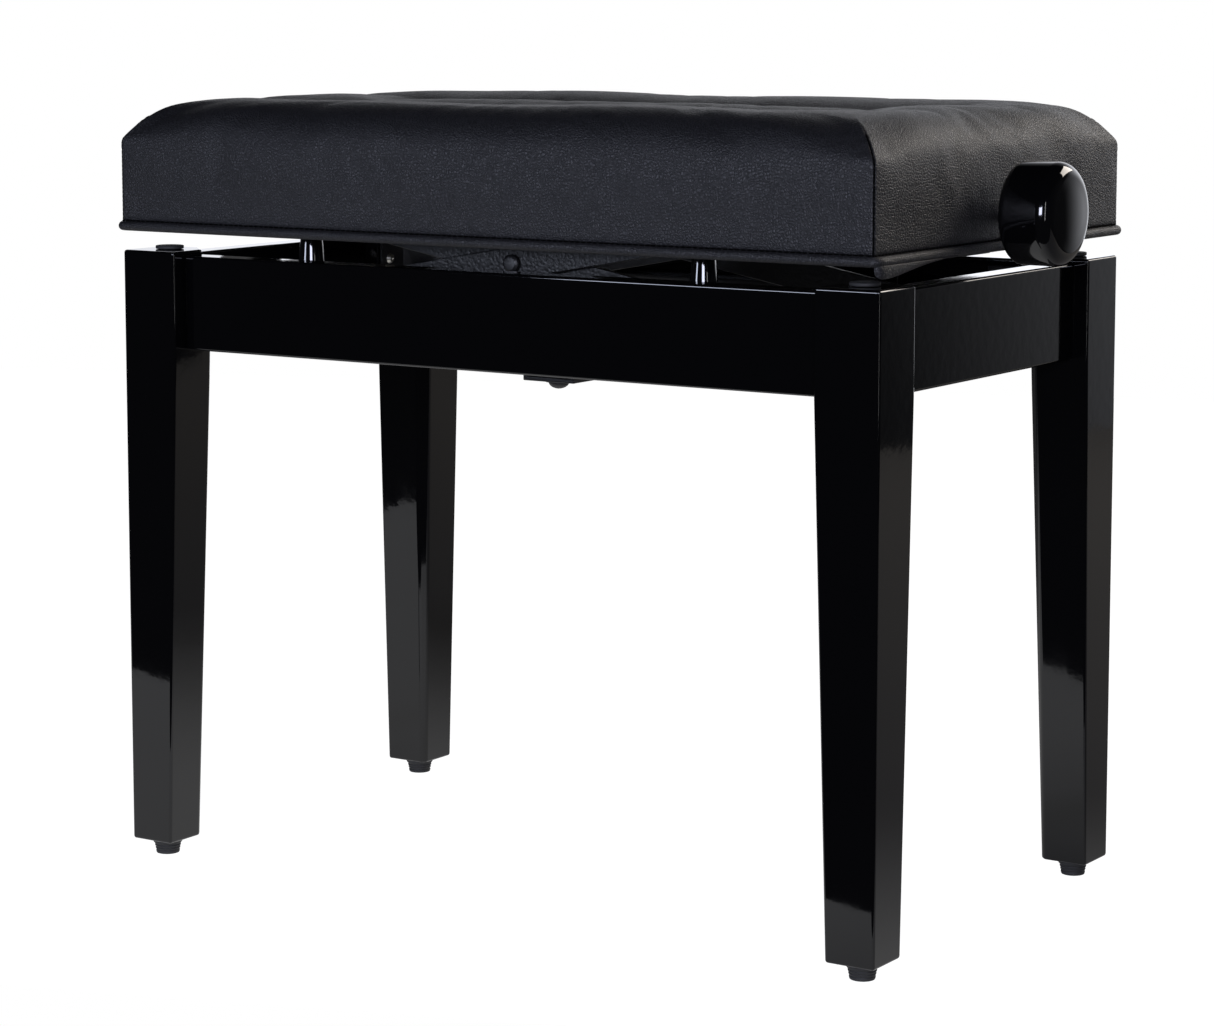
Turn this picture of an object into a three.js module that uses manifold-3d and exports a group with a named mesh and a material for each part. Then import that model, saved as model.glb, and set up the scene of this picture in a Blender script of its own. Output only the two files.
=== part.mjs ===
// Adjustable piano bench: a lacquered frame on four tapered legs, a padded seat box, and a
// scissor lift between them that a hand spindle drives. Millimetres, +Z up. The long side runs
// along X, the front faces -Y, and the origin lies on the floor under the middle of the bench.
import * as THREE from 'three';
import { mergeVertices } from 'three/addons/utils/BufferGeometryUtils.js';
import Module from 'manifold-3d';

const wasm = await Module();
wasm.setup();

// ---------------------------------------------------------------- driving dimensions
// Overall frame
const frameWidth = 550; // outside of the legs, along X
const frameDepth = 308; // outside of the legs, along Y
const legTopZ = 395;
const fitGap = 0.3; // between pieces that touch
const edgeBevel = 1.2; // lacquered wood edges

// Legs
const footHeight = 10;
const footTopRadius = 9.5;
const footBaseRadius = 7.4;
const legTopSize = 42; // square, over the rails
const legFootSize = 32;
const legLowChamfer = 7; // inner corner just under the rails
const legFootChamfer = 3;
const padRadius = 9;
const padThickness = 2.1;

// Rails
const railHeight = 60;
const railThickness = 18;
const railSetback = 10; // behind the legs' outer faces
const railDrop = 3; // below the leg tops

// Corner brackets and their bolts
const bracketSheet = 2;
const bracketHeight = 50;
const bracketStandoff = 6; // off the leg's chamfer
const bracketTab = 24.8; // flat tab along each rail
const bracketClearance = 2; // between a tab and the steel guide beside it
const boltRadius = 4;
const boltBury = 26; // inside the leg
const boltWasherRadius = 9;
const boltWasherThickness = 1.2;
const boltNutRadius = 7;
const boltNutThickness = 6;

// Lift: linkage
const pivotInsetLeft = 69; // from the frame's left outside to the fixed pivots
const pivotInsetRight = 87; // from the frame's right outside to the sliding pivots, at rest
const lowerPivotAboveRail = 26.5; // above the rails' lower edge
const liftTravel = 82; // up from the rest height
const restGap = 10.8; // seat box above the leg pads at the rest height
const armWidth = 20;
const armThickness = 4;
const sideGap = 0.6; // between the sliding faces of arms and guides
const shaftRadius = 5;
const shaftBodyRadius = 7;
const shaftHeadRadius = 8;
const shaftHeadThickness = 2.4;
const openPivotGap = 1.1; // the arms' middle pivot
const slideGap = 0.9; // above and below what slides in a slot, and round the spindle's thread
const rollerRadius = 8;
const middleBoltRadius = 4;
const middleHeadRadius = 5.5;
const middleHeadThickness = 3;

// Lift: steel guides, strut and buffer posts
const steel = 3;
const guideHalfHeight = 13.5; // each side of the pivots' height
const guideEndMargin = 11; // web past the fixed pivots
const slotEndWall = 5.5; // web past the end of a slot
const postRadius = 9;
const postGap = 0.35; // between a post and the channel's walls
const postTipRadius = 4;
const postShoulder = 40; // straight part of a post
const postInset = 44; // from the nearer end of the channel's floor
const strutWidth = 42;
const strutBoxWidth = 38;
const strutBoxHeight = 27; // below the guides' floors
const strutBoxHalfLength = 62;

// Spindle
const spindleRadius = 6;
const spindleAboveSkirt = 21.8;
const bossRadius = 12;
const bossHalfLength = 18;
const collarRadius = 11;
const collarWidth = 10;
const bearingHalfWidth = 18;
const bearingDrop = 4.2; // below the skirts
const knobRadius = 30.5;
const knobLength = 35;
const knobFaceRound = 9;
const knobBackRound = 6;
const knobDome = 1; // of the outer face
const knobNeckRadius = 13;
const knobStandoff = 6; // knob off the cover
const knobBore = 24;

// Seat
const seatOverhangX = 1; // cover past the legs
const seatOverhangY = 5;
const coverWall = 4.7; // leatherette with its wadding, on the sides
const coverTop = 1.5;
const coverCorner = 6;
const coverEdgeRound = 24;
const skirtThickness = 16;
const skirtHeight = 38;
const skirtHole = 9;
const boardThickness = 12;
const foamThickness = 31.4;
const foamEdgeRound = 20;
const pipingRadius = 3;

// ---------------------------------------------------------------- dependent sizes
const halfWidth = frameWidth / 2;
const halfDepth = frameDepth / 2;
const legBaseZ = footHeight + fitGap;
const railTopZ = legTopZ - railDrop;
const railBottomZ = railTopZ - railHeight;
const railInner = railSetback + railThickness; // from the legs' outer faces
const legTopChamfer = legTopSize - railInner; // the chamfer meets the rails' inner faces
const padTopZ = legTopZ + fitGap + padThickness;

const skirtBottomZ = padTopZ + restGap;
const skirtTopZ = skirtBottomZ + skirtHeight;
const boardBottomZ = skirtTopZ + fitGap;
const boardTopZ = boardBottomZ + boardThickness;
const foamBottomZ = boardTopZ + fitGap;
const foamTopZ = foamBottomZ + foamThickness;
const coverTopZ = foamTopZ + fitGap + coverTop;
const coverHalfX = halfWidth + seatOverhangX;
const coverHalfY = halfDepth + seatOverhangY;
const boxHalfX = coverHalfX - coverWall - fitGap; // seat box, outside of the skirts
const boxHalfY = coverHalfY - coverWall - fitGap;
const pipingZ = skirtBottomZ + pipingRadius - 0.6;
const coverBottomZ = pipingZ + pipingRadius + fitGap;

const spindleZ = skirtBottomZ + spindleAboveSkirt;
const lowerPivotZ = railBottomZ + lowerPivotAboveRail;
const lowerTravel = restGap - fitGap;
const fixedPivotX = pivotInsetLeft - halfWidth;
const slidingPivotX = halfWidth - pivotInsetRight;
const armSpan = slidingPivotX - fixedPivotX;
const armRise = spindleZ - lowerPivotZ;
const armLength = Math.hypot(armSpan, armRise);
const armAngle = Math.atan2(armRise, armSpan);
const liftMiddleX = (fixedPivotX + slidingPivotX) / 2;
const liftMiddleZ = (lowerPivotZ + spindleZ) / 2;
const slideOuterX = fixedPivotX + Math.sqrt(armLength ** 2 - (armRise - lowerTravel) ** 2);
const slideInnerX = fixedPivotX + Math.sqrt(armLength ** 2 - (armRise + liftTravel) ** 2);

const channelInside = 2 * (postRadius + postGap);
const guideOuterY = halfDepth - railInner - fitGap;
const postY = guideOuterY - steel - channelInside / 2;
const webOuterY = guideOuterY - steel - channelInside;
const webInnerY = webOuterY - steel;
const armAOuterY = webInnerY - sideGap;
const armAInnerY = armAOuterY - armThickness;
const armBOuterY = armAInnerY - sideGap;
const armBInnerY = armBOuterY - armThickness;
const guideLowZ = lowerPivotZ - guideHalfHeight;
const upperGuideTopZ = boardBottomZ - fitGap;
const guideStartX = fixedPivotX - guideEndMargin;
const guideEndX = slideOuterX + rollerRadius + slideGap + slotEndWall;
const bracketNear = railInner + fitGap; // bracket faces, from the legs' outer faces
const bracketFold = 2 * legTopSize - legTopChamfer + Math.SQRT2 * bracketStandoff - bracketNear;
const bracketFar = bracketFold + bracketTab;
const flangeEndX = halfWidth - bracketFar - bracketClearance;
const postSpread = flangeEndX - Math.abs(liftMiddleX) - postInset;
const postTopZ = upperGuideTopZ - steel - lowerTravel - fitGap;
const bearingInnerX = boxHalfX - skirtThickness - fitGap - steel;
const knobBackX = coverHalfX + knobStandoff;
const spindleEndX = knobBackX + knobBore - fitGap;

// ---------------------------------------------------------------- materials
const finish = (color, roughness, metalness = 0) =>
  new THREE.MeshStandardMaterial({ color, roughness, metalness });
const lacquer = () => finish(0x0b0b0c, 0.08);
const blackSteel = () => finish(0x232325, 0.5, 0.3);
const zincSteel = () => finish(0x9a9a98, 0.35, 1);
const rubber = () => finish(0x141414, 0.8);
const glossPlastic = () => finish(0x0a0a0b, 0.1);
const leatherette = () => finish(0x1d1d22, 0.55);
const plywood = () => finish(0xb08a5a, 0.7);
const upholsteryFoam = () => finish(0xd8cfae, 0.9);

// ---------------------------------------------------------------- geometry helpers
// A closed mesh as a manifold solid, for cutting and joining.
function solid(geometry) {
  const bare = geometry.clone();
  bare.deleteAttribute('normal');
  bare.deleteAttribute('uv');
  const merged = mergeVertices(bare, 1e-4);
  return new wasm.Manifold(new wasm.Mesh({
    numProp: 3,
    vertProperties: new Float32Array(merged.attributes.position.array),
    triVerts: new Uint32Array(merged.index.array),
  }));
}

function fromSolid(manifold) {
  const mesh = manifold.getMesh();
  const geometry = new THREE.BufferGeometry();
  geometry.setAttribute('position', new THREE.BufferAttribute(mesh.vertProperties, 3));
  geometry.setIndex(new THREE.BufferAttribute(mesh.triVerts, 1));
  return geometry;
}

const cut = (body, ...tools) =>
  fromSolid(tools.reduce((left, tool) => left.subtract(solid(tool)), solid(body)));
const join = (body, ...others) =>
  fromSolid(others.reduce((left, other) => left.add(solid(other)), solid(body)));

function block(x0, x1, y0, y1, z0, z1) {
  const geometry = new THREE.BoxGeometry(Math.abs(x1 - x0), Math.abs(y1 - y0), z1 - z0);
  return geometry.translate((x0 + x1) / 2, (y0 + y1) / 2, (z0 + z1) / 2);
}

// Turns a shape made along +Z so that it runs along a direction.
function along(geometry, direction) {
  const turn = new THREE.Quaternion();
  turn.setFromUnitVectors(new THREE.Vector3(0, 0, 1), direction.clone().normalize());
  return geometry.applyQuaternion(turn);
}

const alongX = new THREE.Vector3(1, 0, 0);
const alongY = new THREE.Vector3(0, 1, 0);

// A turned piece from [radius, height] points that start and end on the axis, made along +Z.
function turned(profile, sides = 16) {
  const points = profile.map(([radius, height]) => new THREE.Vector2(radius, height));
  return new THREE.LatheGeometry(points, sides).rotateX(Math.PI / 2);
}

// A plain rod from one height to another, made along +Z.
const rod = (radius, from, to, sides = 16) =>
  turned([[0, from], [radius, from], [radius, to], [0, to]], sides);

// Points of a quarter round in a turned profile, from one angle to another.
function roundPoints(radiusCentre, heightCentre, radius, from, to, steps = 6) {
  return Array.from({ length: steps + 1 }, (_, i) => {
    const angle = from + ((to - from) * i) / steps;
    return [radiusCentre + radius * Math.cos(angle), heightCentre + radius * Math.sin(angle)];
  });
}

// A closed skin over rings of points, capped at both ends. Every ring is convex.
function loft(rings) {
  const count = rings[0].length;
  const positions = rings.flat(2);
  const faces = [];
  for (let ring = 0; ring + 1 < rings.length; ring += 1) {
    for (let i = 0; i < count; i += 1) {
      const a = ring * count + i;
      const b = ring * count + ((i + 1) % count);
      faces.push(a, b, b + count, a, b + count, a + count);
    }
  }
  const last = (rings.length - 1) * count;
  for (let i = 1; i + 1 < count; i += 1) {
    faces.push(0, i + 1, i, last, last + i, last + i + 1);
  }
  const geometry = new THREE.BufferGeometry();
  geometry.setAttribute('position', new THREE.Float32BufferAttribute(positions, 3));
  geometry.setIndex(faces);
  return geometry;
}

// An upright plate in the XZ plane, from a shape drawn in x and z, between two Y values.
function plateXZ(shape, y0, y1) {
  const depth = y1 - y0;
  const geometry = new THREE.ExtrudeGeometry(shape, { depth, bevelEnabled: false, curveSegments: 6 });
  return geometry.rotateX(Math.PI / 2).translate(0, y1, 0);
}

// A bar with round ends and a hole, drawn in x and z.
function slotPath(x0, x1, z, radius) {
  const path = new THREE.Path();
  path.moveTo(x0, z - radius);
  path.lineTo(x1, z - radius);
  path.absarc(x1, z, radius, -Math.PI / 2, Math.PI / 2, false);
  path.lineTo(x0, z + radius);
  path.absarc(x0, z, radius, Math.PI / 2, 1.5 * Math.PI, false);
  return path;
}

function holePath(x, z, radius) {
  const path = new THREE.Path();
  path.absarc(x, z, radius, 0, 2 * Math.PI, false);
  return path;
}

function rectangle(x0, x1, z0, z1) {
  const shape = new THREE.Shape();
  shape.moveTo(x0, z0);
  shape.lineTo(x1, z0);
  shape.lineTo(x1, z1);
  shape.lineTo(x0, z1);
  return shape;
}

// A straight board with bevelled long edges. It runs along X, and turned says to run along Y.
function board(length, thickness, z0, z1, centre, runsAlongY = false) {
  const half = thickness / 2;
  const outline = new THREE.Shape();
  outline.moveTo(-half + edgeBevel, z0);
  outline.lineTo(half - edgeBevel, z0);
  outline.lineTo(half, z0 + edgeBevel);
  outline.lineTo(half, z1 - edgeBevel);
  outline.lineTo(half - edgeBevel, z1);
  outline.lineTo(-half + edgeBevel, z1);
  outline.lineTo(-half, z1 - edgeBevel);
  outline.lineTo(-half, z0 + edgeBevel);
  const geometry = new THREE.ExtrudeGeometry(outline, { depth: length, bevelEnabled: false });
  geometry.rotateX(Math.PI / 2).translate(0, length / 2, 0);
  if (!runsAlongY) geometry.rotateZ(Math.PI / 2);
  return geometry.translate(...(runsAlongY ? [centre, 0, 0] : [0, centre, 0]));
}

const bench = new THREE.Group();

function add(name, geometry, material, parent = bench) {
  const mesh = new THREE.Mesh(geometry, material);
  mesh.name = name;
  parent.add(mesh);
  return mesh;
}

const sides = [
  { name: 'front', y: -1 },
  { name: 'rear', y: 1 },
];
const ends = [
  { name: 'left', x: -1 },
  { name: 'right', x: 1 },
];
const corners = sides.flatMap((side) => ends.map((end) => (
  { name: `${side.name}_${end.name}`, x: end.x, y: side.y }
)));

// Points given inwards from a leg's outer corner, as a counter-clockwise ring at one height.
function cornerRing(corner, points, z) {
  const ring = points.map(([u, v]) => (
    [corner.x * (halfWidth - u), corner.y * (halfDepth - v), z]
  ));
  return corner.x * corner.y > 0 ? ring : ring.reverse();
}

// ---------------------------------------------------------------- legs, feet and pads
function legOutline(size, chamfer) {
  const bevel = edgeBevel;
  return [
    [bevel, 0], [size - bevel, 0], [size, bevel], [size, size - chamfer],
    [size - chamfer, size], [bevel, size], [0, size - bevel], [0, bevel],
  ];
}

const towardsMiddle = (corner) => new THREE.Vector3(-corner.x, -corner.y, 0).normalize();
const boltZ = (railTopZ + railBottomZ) / 2;

// A shape made along +Z, laid on the diagonal out of a leg's chamfer at the bolt's height.
function onDiagonal(geometry, corner) {
  const faceInset = legTopSize - legTopChamfer / 2;
  return along(geometry, towardsMiddle(corner)).translate(
    corner.x * (halfWidth - faceInset), corner.y * (halfDepth - faceInset), boltZ,
  );
}

function leg(corner) {
  const lower = loft([
    cornerRing(corner, legOutline(legFootSize, legFootChamfer), legBaseZ),
    cornerRing(corner, legOutline(legTopSize, legLowChamfer), railBottomZ),
  ]);
  const upper = loft([
    cornerRing(corner, legOutline(legTopSize, legTopChamfer), railBottomZ - 1),
    cornerRing(corner, legOutline(legTopSize, legTopChamfer), legTopZ),
  ]);
  const bore = onDiagonal(rod(boltRadius + fitGap, -boltBury - fitGap, boltWasherRadius), corner);
  return cut(join(lower, upper), bore);
}

const footProfile = [
  [0, 0], [footBaseRadius - 0.8, 0], [footBaseRadius, 0.8], [footTopRadius - 0.6, footHeight - 3],
  [footTopRadius, footHeight - 2.4], [footTopRadius, footHeight], [0, footHeight],
];

for (const corner of corners) {
  const footInset = legFootSize / 2;
  const padInset = legTopSize / 2;
  add(`leg_${corner.name}`, leg(corner), lacquer());
  const foot = add(`foot_${corner.name}`, turned(footProfile), rubber());
  foot.position.set(corner.x * (halfWidth - footInset), corner.y * (halfDepth - footInset), 0);
  const pad = add(`leg_pad_${corner.name}`, rod(padRadius, 0, padThickness), rubber());
  pad.position.set(
    corner.x * (halfWidth - padInset), corner.y * (halfDepth - padInset), legTopZ + fitGap,
  );
}

// ---------------------------------------------------------------- rails and corner brackets
for (const side of sides) {
  const length = 2 * (halfWidth - legTopSize - fitGap);
  const centre = side.y * (halfDepth - railSetback - railThickness / 2);
  add(`rail_${side.name}`, board(length, railThickness, railBottomZ, railTopZ, centre), lacquer());
}
for (const end of ends) {
  const length = 2 * (halfDepth - legTopSize - fitGap);
  const centre = end.x * (halfWidth - railSetback - railThickness / 2);
  const geometry = board(length, railThickness, railBottomZ, railTopZ, centre, true);
  add(`rail_${end.name}`, geometry, lacquer());
}

// A folded strip: a tab on each rail and a flat across the corner, behind the leg's chamfer.
function cornerBracket(corner) {
  const inside = bracketNear + bracketSheet;
  const insideFold = bracketFold + bracketSheet * (Math.SQRT2 - 1);
  const outline = [
    [bracketFar, bracketNear], [bracketFar, inside], [insideFold, inside], [inside, insideFold],
    [inside, bracketFar], [bracketNear, bracketFar], [bracketNear, bracketFold],
    [bracketFold, bracketNear],
  ];
  const shape = new THREE.Shape(cornerRing(corner, outline, 0).map(([x, y]) => (
    new THREE.Vector2(x, y)
  )));
  const depth = bracketHeight;
  const strip = new THREE.ExtrudeGeometry(shape, { depth, bevelEnabled: false });
  strip.translate(0, 0, boltZ - bracketHeight / 2);
  return cut(strip, onDiagonal(rod(boltRadius + fitGap, 0, 2 * bossRadius), corner));
}

// A hanger bolt with its washer and nut.
function legBolt(corner) {
  const seat = bracketStandoff + bracketSheet + fitGap;
  const nutFrom = seat + boltWasherThickness;
  const shank = turned([
    [0, -boltBury], [boltRadius, -boltBury], [boltRadius, seat], [boltWasherRadius, seat],
    [boltWasherRadius, nutFrom], [boltRadius, nutFrom],
    [boltRadius, nutFrom + boltNutThickness + 1.5], [0, nutFrom + boltNutThickness + 1.5],
  ]);
  const nut = rod(boltNutRadius, nutFrom - boltWasherThickness / 2, nutFrom + boltNutThickness, 6);
  return onDiagonal(join(shank, nut), corner);
}

for (const corner of corners) {
  add(`corner_bracket_${corner.name}`, cornerBracket(corner), blackSteel());
  add(`leg_bolt_${corner.name}`, legBolt(corner), zincSteel());
}

// ---------------------------------------------------------------- steel guides and strut
// Mirrors a Y range to one side of the bench, lowest first.
const yRange = (side, inner, outer) => (side.y > 0 ? [inner, outer] : [-outer, -inner]);

// The lower guide is a channel on the inside of a rail: the arms A hinge at its left end, and
// the arms B roll in the slot at its right end.
function lowerGuide(side) {
  const web = rectangle(guideStartX, guideEndX, guideLowZ, lowerPivotZ + guideHalfHeight);
  web.holes.push(holePath(fixedPivotX, lowerPivotZ, shaftRadius + fitGap));
  web.holes.push(slotPath(slideInnerX, slideOuterX, lowerPivotZ, rollerRadius + slideGap));
  const floor = block(-flangeEndX, flangeEndX, ...yRange(side, webInnerY + 1, guideOuterY),
    guideLowZ, guideLowZ + steel);
  const flange = block(-flangeEndX, flangeEndX, ...yRange(side, guideOuterY - steel, guideOuterY),
    guideLowZ, lowerPivotZ + guideHalfHeight);
  return join(plateXZ(web, ...yRange(side, webInnerY, webOuterY)), floor, flange);
}

// The upper guide is an angle under the seat board: the arms B hinge at its left end, and the
// nut bar slides in the slot at its right end.
function upperGuide(side) {
  const web = rectangle(guideStartX, guideEndX, spindleZ - guideHalfHeight, upperGuideTopZ);
  web.holes.push(holePath(fixedPivotX, spindleZ, shaftRadius + fitGap));
  web.holes.push(slotPath(slideInnerX, slideOuterX, spindleZ, shaftRadius + slideGap));
  const flange = block(guideStartX, guideEndX, ...yRange(side, webInnerY + 1, guideOuterY),
    upperGuideTopZ - steel, upperGuideTopZ);
  return join(plateXZ(web, ...yRange(side, webInnerY, webOuterY)), flange);
}

// A flat bar ties the two lower guides together under their floors. A folded box under the
// middle of the bar stiffens it.
function lowerStrut() {
  const middle = liftMiddleX;
  const top = guideLowZ - fitGap;
  const floor = top - strutBoxHeight;
  const bar = block(middle - strutWidth / 2, middle + strutWidth / 2, -guideOuterY, guideOuterY,
    top - steel, top);
  const half = strutBoxWidth / 2;
  const outer = block(middle - half, middle + half, -strutBoxHalfLength, strutBoxHalfLength,
    floor, top - 1);
  const inner = block(middle - half + steel, middle + half - steel,
    -strutBoxHalfLength - 1, strutBoxHalfLength + 1, floor + steel, top - steel);
  return join(bar, cut(outer, inner));
}

const postProfile = [
  [0, 0], [postRadius - 0.6, 0], [postRadius, 0.6], [postRadius - 0.4, postShoulder],
  [postTipRadius, postTopZ - guideLowZ - steel - fitGap - 1.5],
  [postTipRadius - 1.5, postTopZ - guideLowZ - steel - fitGap],
  [0, postTopZ - guideLowZ - steel - fitGap],
];

for (const side of sides) {
  add(`lower_guide_${side.name}`, lowerGuide(side), blackSteel());
  add(`upper_guide_${side.name}`, upperGuide(side), blackSteel());
  for (const end of ends) {
    const post = add(`buffer_post_${side.name}_${end.name}`, turned(postProfile), glossPlastic());
    post.position.set(
      liftMiddleX + end.x * postSpread, side.y * postY, guideLowZ + steel + fitGap,
    );
  }
}
add('lower_strut', lowerStrut(), blackSteel());

// ---------------------------------------------------------------- cross shafts
// A shaft through a pair of guides and arms: a thicker body between the arms, a journal through
// arms and guides, and a riveted head past each guide. bodyEnd is the half length of the body.
function shaft(bodyEnd) {
  const headFrom = webOuterY + fitGap;
  const headTo = headFrom + shaftHeadThickness;
  return along(turned([
    [0, -headTo], [shaftHeadRadius, -headTo], [shaftHeadRadius, -headFrom],
    [shaftRadius, -headFrom], [shaftRadius, -bodyEnd], [shaftBodyRadius, -bodyEnd],
    [shaftBodyRadius, bodyEnd], [shaftRadius, bodyEnd], [shaftRadius, headFrom],
    [shaftHeadRadius, headFrom], [shaftHeadRadius, headTo], [0, headTo],
  ]), alongY);
}

// A shaft with a boss in its middle that the spindle passes through.
function bossShaft(bodyEnd, boreRadius) {
  const boss = along(rod(bossRadius, -bossHalfLength, bossHalfLength), alongY);
  const bore = along(rod(boreRadius, -2 * bossRadius, 2 * bossRadius), alongX);
  return cut(join(shaft(bodyEnd), boss), bore);
}

const pivotShaft = add('lower_pivot_shaft', shaft(armBInnerY - fitGap), zincSteel());
pivotShaft.position.set(fixedPivotX, 0, lowerPivotZ);
const rollerShaft = add('roller_shaft', shaft(armBInnerY - fitGap), zincSteel());
rollerShaft.position.set(slidingPivotX, 0, lowerPivotZ);
const upperShaftGeometry = bossShaft(armBInnerY - fitGap, spindleRadius + fitGap);
const upperShaft = add('upper_pivot_shaft', upperShaftGeometry, zincSteel());
upperShaft.position.set(fixedPivotX, 0, spindleZ);
const nutBarGeometry = bossShaft(armAInnerY - fitGap, spindleRadius + slideGap);
const nutBar = add('nut_bar', nutBarGeometry, zincSteel());
nutBar.position.set(slidingPivotX, 0, spindleZ);

for (const side of sides) {
  const [inner, outer] = yRange(side, webInnerY, webOuterY);
  const ring = cut(rod(rollerRadius, inner, outer), rod(shaftRadius + fitGap, inner - 1, outer + 1));
  const roller = add(`roller_${side.name}`, along(ring, alongY), glossPlastic());
  roller.position.set(slidingPivotX, 0, lowerPivotZ);
}

// ---------------------------------------------------------------- scissor arms
// A flat bar with a pivot hole at each end and one in the middle, drawn about its middle.
function arm(yValues, middleHole) {
  const half = armLength / 2;
  const bar = new THREE.Shape(slotPath(-half, half, 0, armWidth / 2).getPoints(8));
  bar.holes.push(holePath(-half, 0, shaftRadius + fitGap));
  bar.holes.push(holePath(half, 0, shaftRadius + fitGap));
  bar.holes.push(holePath(0, 0, middleHole));
  return plateXZ(bar, ...yValues);
}

// The bolt that the arms cross on: head outside, lock nut inside.
function middleBolt(side) {
  const headFrom = armAOuterY + fitGap;
  const headTo = headFrom + middleHeadThickness;
  const nutFrom = armBInnerY - fitGap;
  const nutTo = nutFrom - boltNutThickness;
  const pin = turned([
    [0, nutTo - 1], [middleBoltRadius, nutTo - 1], [middleBoltRadius, headFrom],
    [middleHeadRadius, headFrom], [middleHeadRadius, headTo - 1.2],
    [middleHeadRadius - 1.6, headTo], [0, headTo],
  ]);
  const nut = rod(boltNutRadius, nutTo, nutFrom, 6);
  return along(join(pin, nut), new THREE.Vector3(0, side.y, 0));
}

for (const side of sides) {
  const outerArm = arm(yRange(side, armAInnerY, armAOuterY), middleBoltRadius + fitGap);
  const innerArm = arm(yRange(side, armBInnerY, armBOuterY), middleBoltRadius + openPivotGap);
  const armA = add(`arm_a_${side.name}`, outerArm, blackSteel());
  armA.position.set(liftMiddleX, 0, liftMiddleZ);
  armA.rotation.y = -armAngle;
  const armB = add(`arm_b_${side.name}`, innerArm, blackSteel());
  armB.position.set(liftMiddleX, 0, liftMiddleZ);
  armB.rotation.y = armAngle;
  const bolt = add(`middle_bolt_${side.name}`, middleBolt(side), blackSteel());
  bolt.position.set(liftMiddleX, 0, liftMiddleZ);
}

// ---------------------------------------------------------------- spindle, collars and knobs
const spindleGeometry = along(rod(spindleRadius, -spindleEndX, spindleEndX), alongX);
add('spindle', spindleGeometry, zincSteel()).position.set(0, 0, spindleZ);

const knobStemX = coverHalfX + knobStandoff / 3;
const knobFaceX = knobBackX + knobLength;
const knobProfile = [
  [0, knobBackX + knobBore], [spindleRadius + fitGap, knobBackX + knobBore],
  [spindleRadius + fitGap, knobStemX], [knobNeckRadius, knobStemX], [knobNeckRadius, knobBackX],
  ...roundPoints(knobRadius - knobBackRound, knobBackX + knobBackRound, knobBackRound,
    -Math.PI / 2, 0, 5),
  ...roundPoints(knobRadius - knobFaceRound, knobFaceX - knobDome - knobFaceRound, knobFaceRound,
    0, Math.PI / 2),
  [0, knobFaceX],
];
for (const end of ends) {
  const direction = new THREE.Vector3(end.x, 0, 0);
  const knob = add(`knob_${end.name}`, along(turned(knobProfile, 28), direction), glossPlastic());
  knob.position.set(0, 0, spindleZ);
  const from = bearingInnerX - fitGap - collarWidth;
  const to = bearingInnerX - fitGap;
  const ring = cut(rod(collarRadius, from, to), rod(spindleRadius + fitGap, from - 1, to + 1));
  const collar = add(`thrust_collar_${end.name}`, along(ring, direction), zincSteel());
  collar.position.set(0, 0, spindleZ);
}

// ---------------------------------------------------------------- seat box
for (const side of sides) {
  const y = yRange(side, boxHalfY - skirtThickness, boxHalfY);
  const geometry = block(-boxHalfX, boxHalfX, ...y, skirtBottomZ, skirtTopZ);
  add(`skirt_${side.name}`, geometry, plywood());
}
for (const end of ends) {
  const halfLength = boxHalfY - skirtThickness - fitGap;
  const through = along(rod(skirtHole, 0, 2 * halfWidth), new THREE.Vector3(end.x, 0, 0));
  through.translate(0, 0, spindleZ);
  const skirt = block(end.x * (boxHalfX - skirtThickness), end.x * boxHalfX,
    -halfLength, halfLength, skirtBottomZ, skirtTopZ);
  add(`skirt_${end.name}`, cut(skirt, through), plywood());
  const bearing = block(end.x * bearingInnerX, end.x * (bearingInnerX + steel),
    -bearingHalfWidth, bearingHalfWidth, skirtBottomZ - bearingDrop, skirtTopZ - fitGap);
  const bore = along(rod(spindleRadius + fitGap, 0, 2 * halfWidth), new THREE.Vector3(end.x, 0, 0));
  bore.translate(0, 0, spindleZ);
  add(`spindle_bearing_${end.name}`, cut(bearing, bore), blackSteel());
}
const boardGeometry = block(-boxHalfX, boxHalfX, -boxHalfY, boxHalfY, boardBottomZ, boardTopZ);
add('seat_board', boardGeometry, plywood());

// ---------------------------------------------------------------- foam, cover and piping
// A rectangle with rounded corners, as a ring of points at one height.
function roundedRing(halfX, halfY, radius, z, steps = 4) {
  const ring = [];
  const centres = [[1, -1], [1, 1], [-1, 1], [-1, -1]];
  centres.forEach(([x, y], quarter) => {
    for (let i = 0; i <= steps; i += 1) {
      const angle = ((quarter - 1) * Math.PI) / 2 + (i * Math.PI) / 2 / steps;
      ring.push([
        x * (halfX - radius) + radius * Math.cos(angle),
        y * (halfY - radius) + radius * Math.sin(angle), z,
      ]);
    }
  });
  return ring;
}

// A block whose top edges are rounded over.
function crowned(halfX, halfY, corner, z0, z1, edgeRound, steps = 6) {
  const rings = [roundedRing(halfX, halfY, corner, z0)];
  for (let i = 0; i <= steps; i += 1) {
    const angle = (i * Math.PI) / 2 / steps;
    const inset = edgeRound * (1 - Math.cos(angle));
    const z = z1 - edgeRound * (1 - Math.sin(angle));
    rings.push(roundedRing(halfX - inset, halfY - inset, corner, z));
  }
  return loft(rings);
}

const boxCorner = 0.5;
add('seat_foam', crowned(boxHalfX, boxHalfY, boxCorner, foamBottomZ, foamTopZ, foamEdgeRound),
  upholsteryFoam());

const coverOutside = crowned(coverHalfX, coverHalfY, coverCorner, coverBottomZ, coverTopZ,
  coverEdgeRound);
const coverInside = crowned(boxHalfX + fitGap, boxHalfY + fitGap, boxCorner,
  coverBottomZ - 1, foamTopZ + fitGap, foamEdgeRound);
const coverHole = along(rod(skirtHole, -coverHalfX - 1, coverHalfX + 1), alongX);
coverHole.translate(0, 0, spindleZ);
add('seat_cover', cut(coverOutside, coverInside, coverHole), leatherette());

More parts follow.
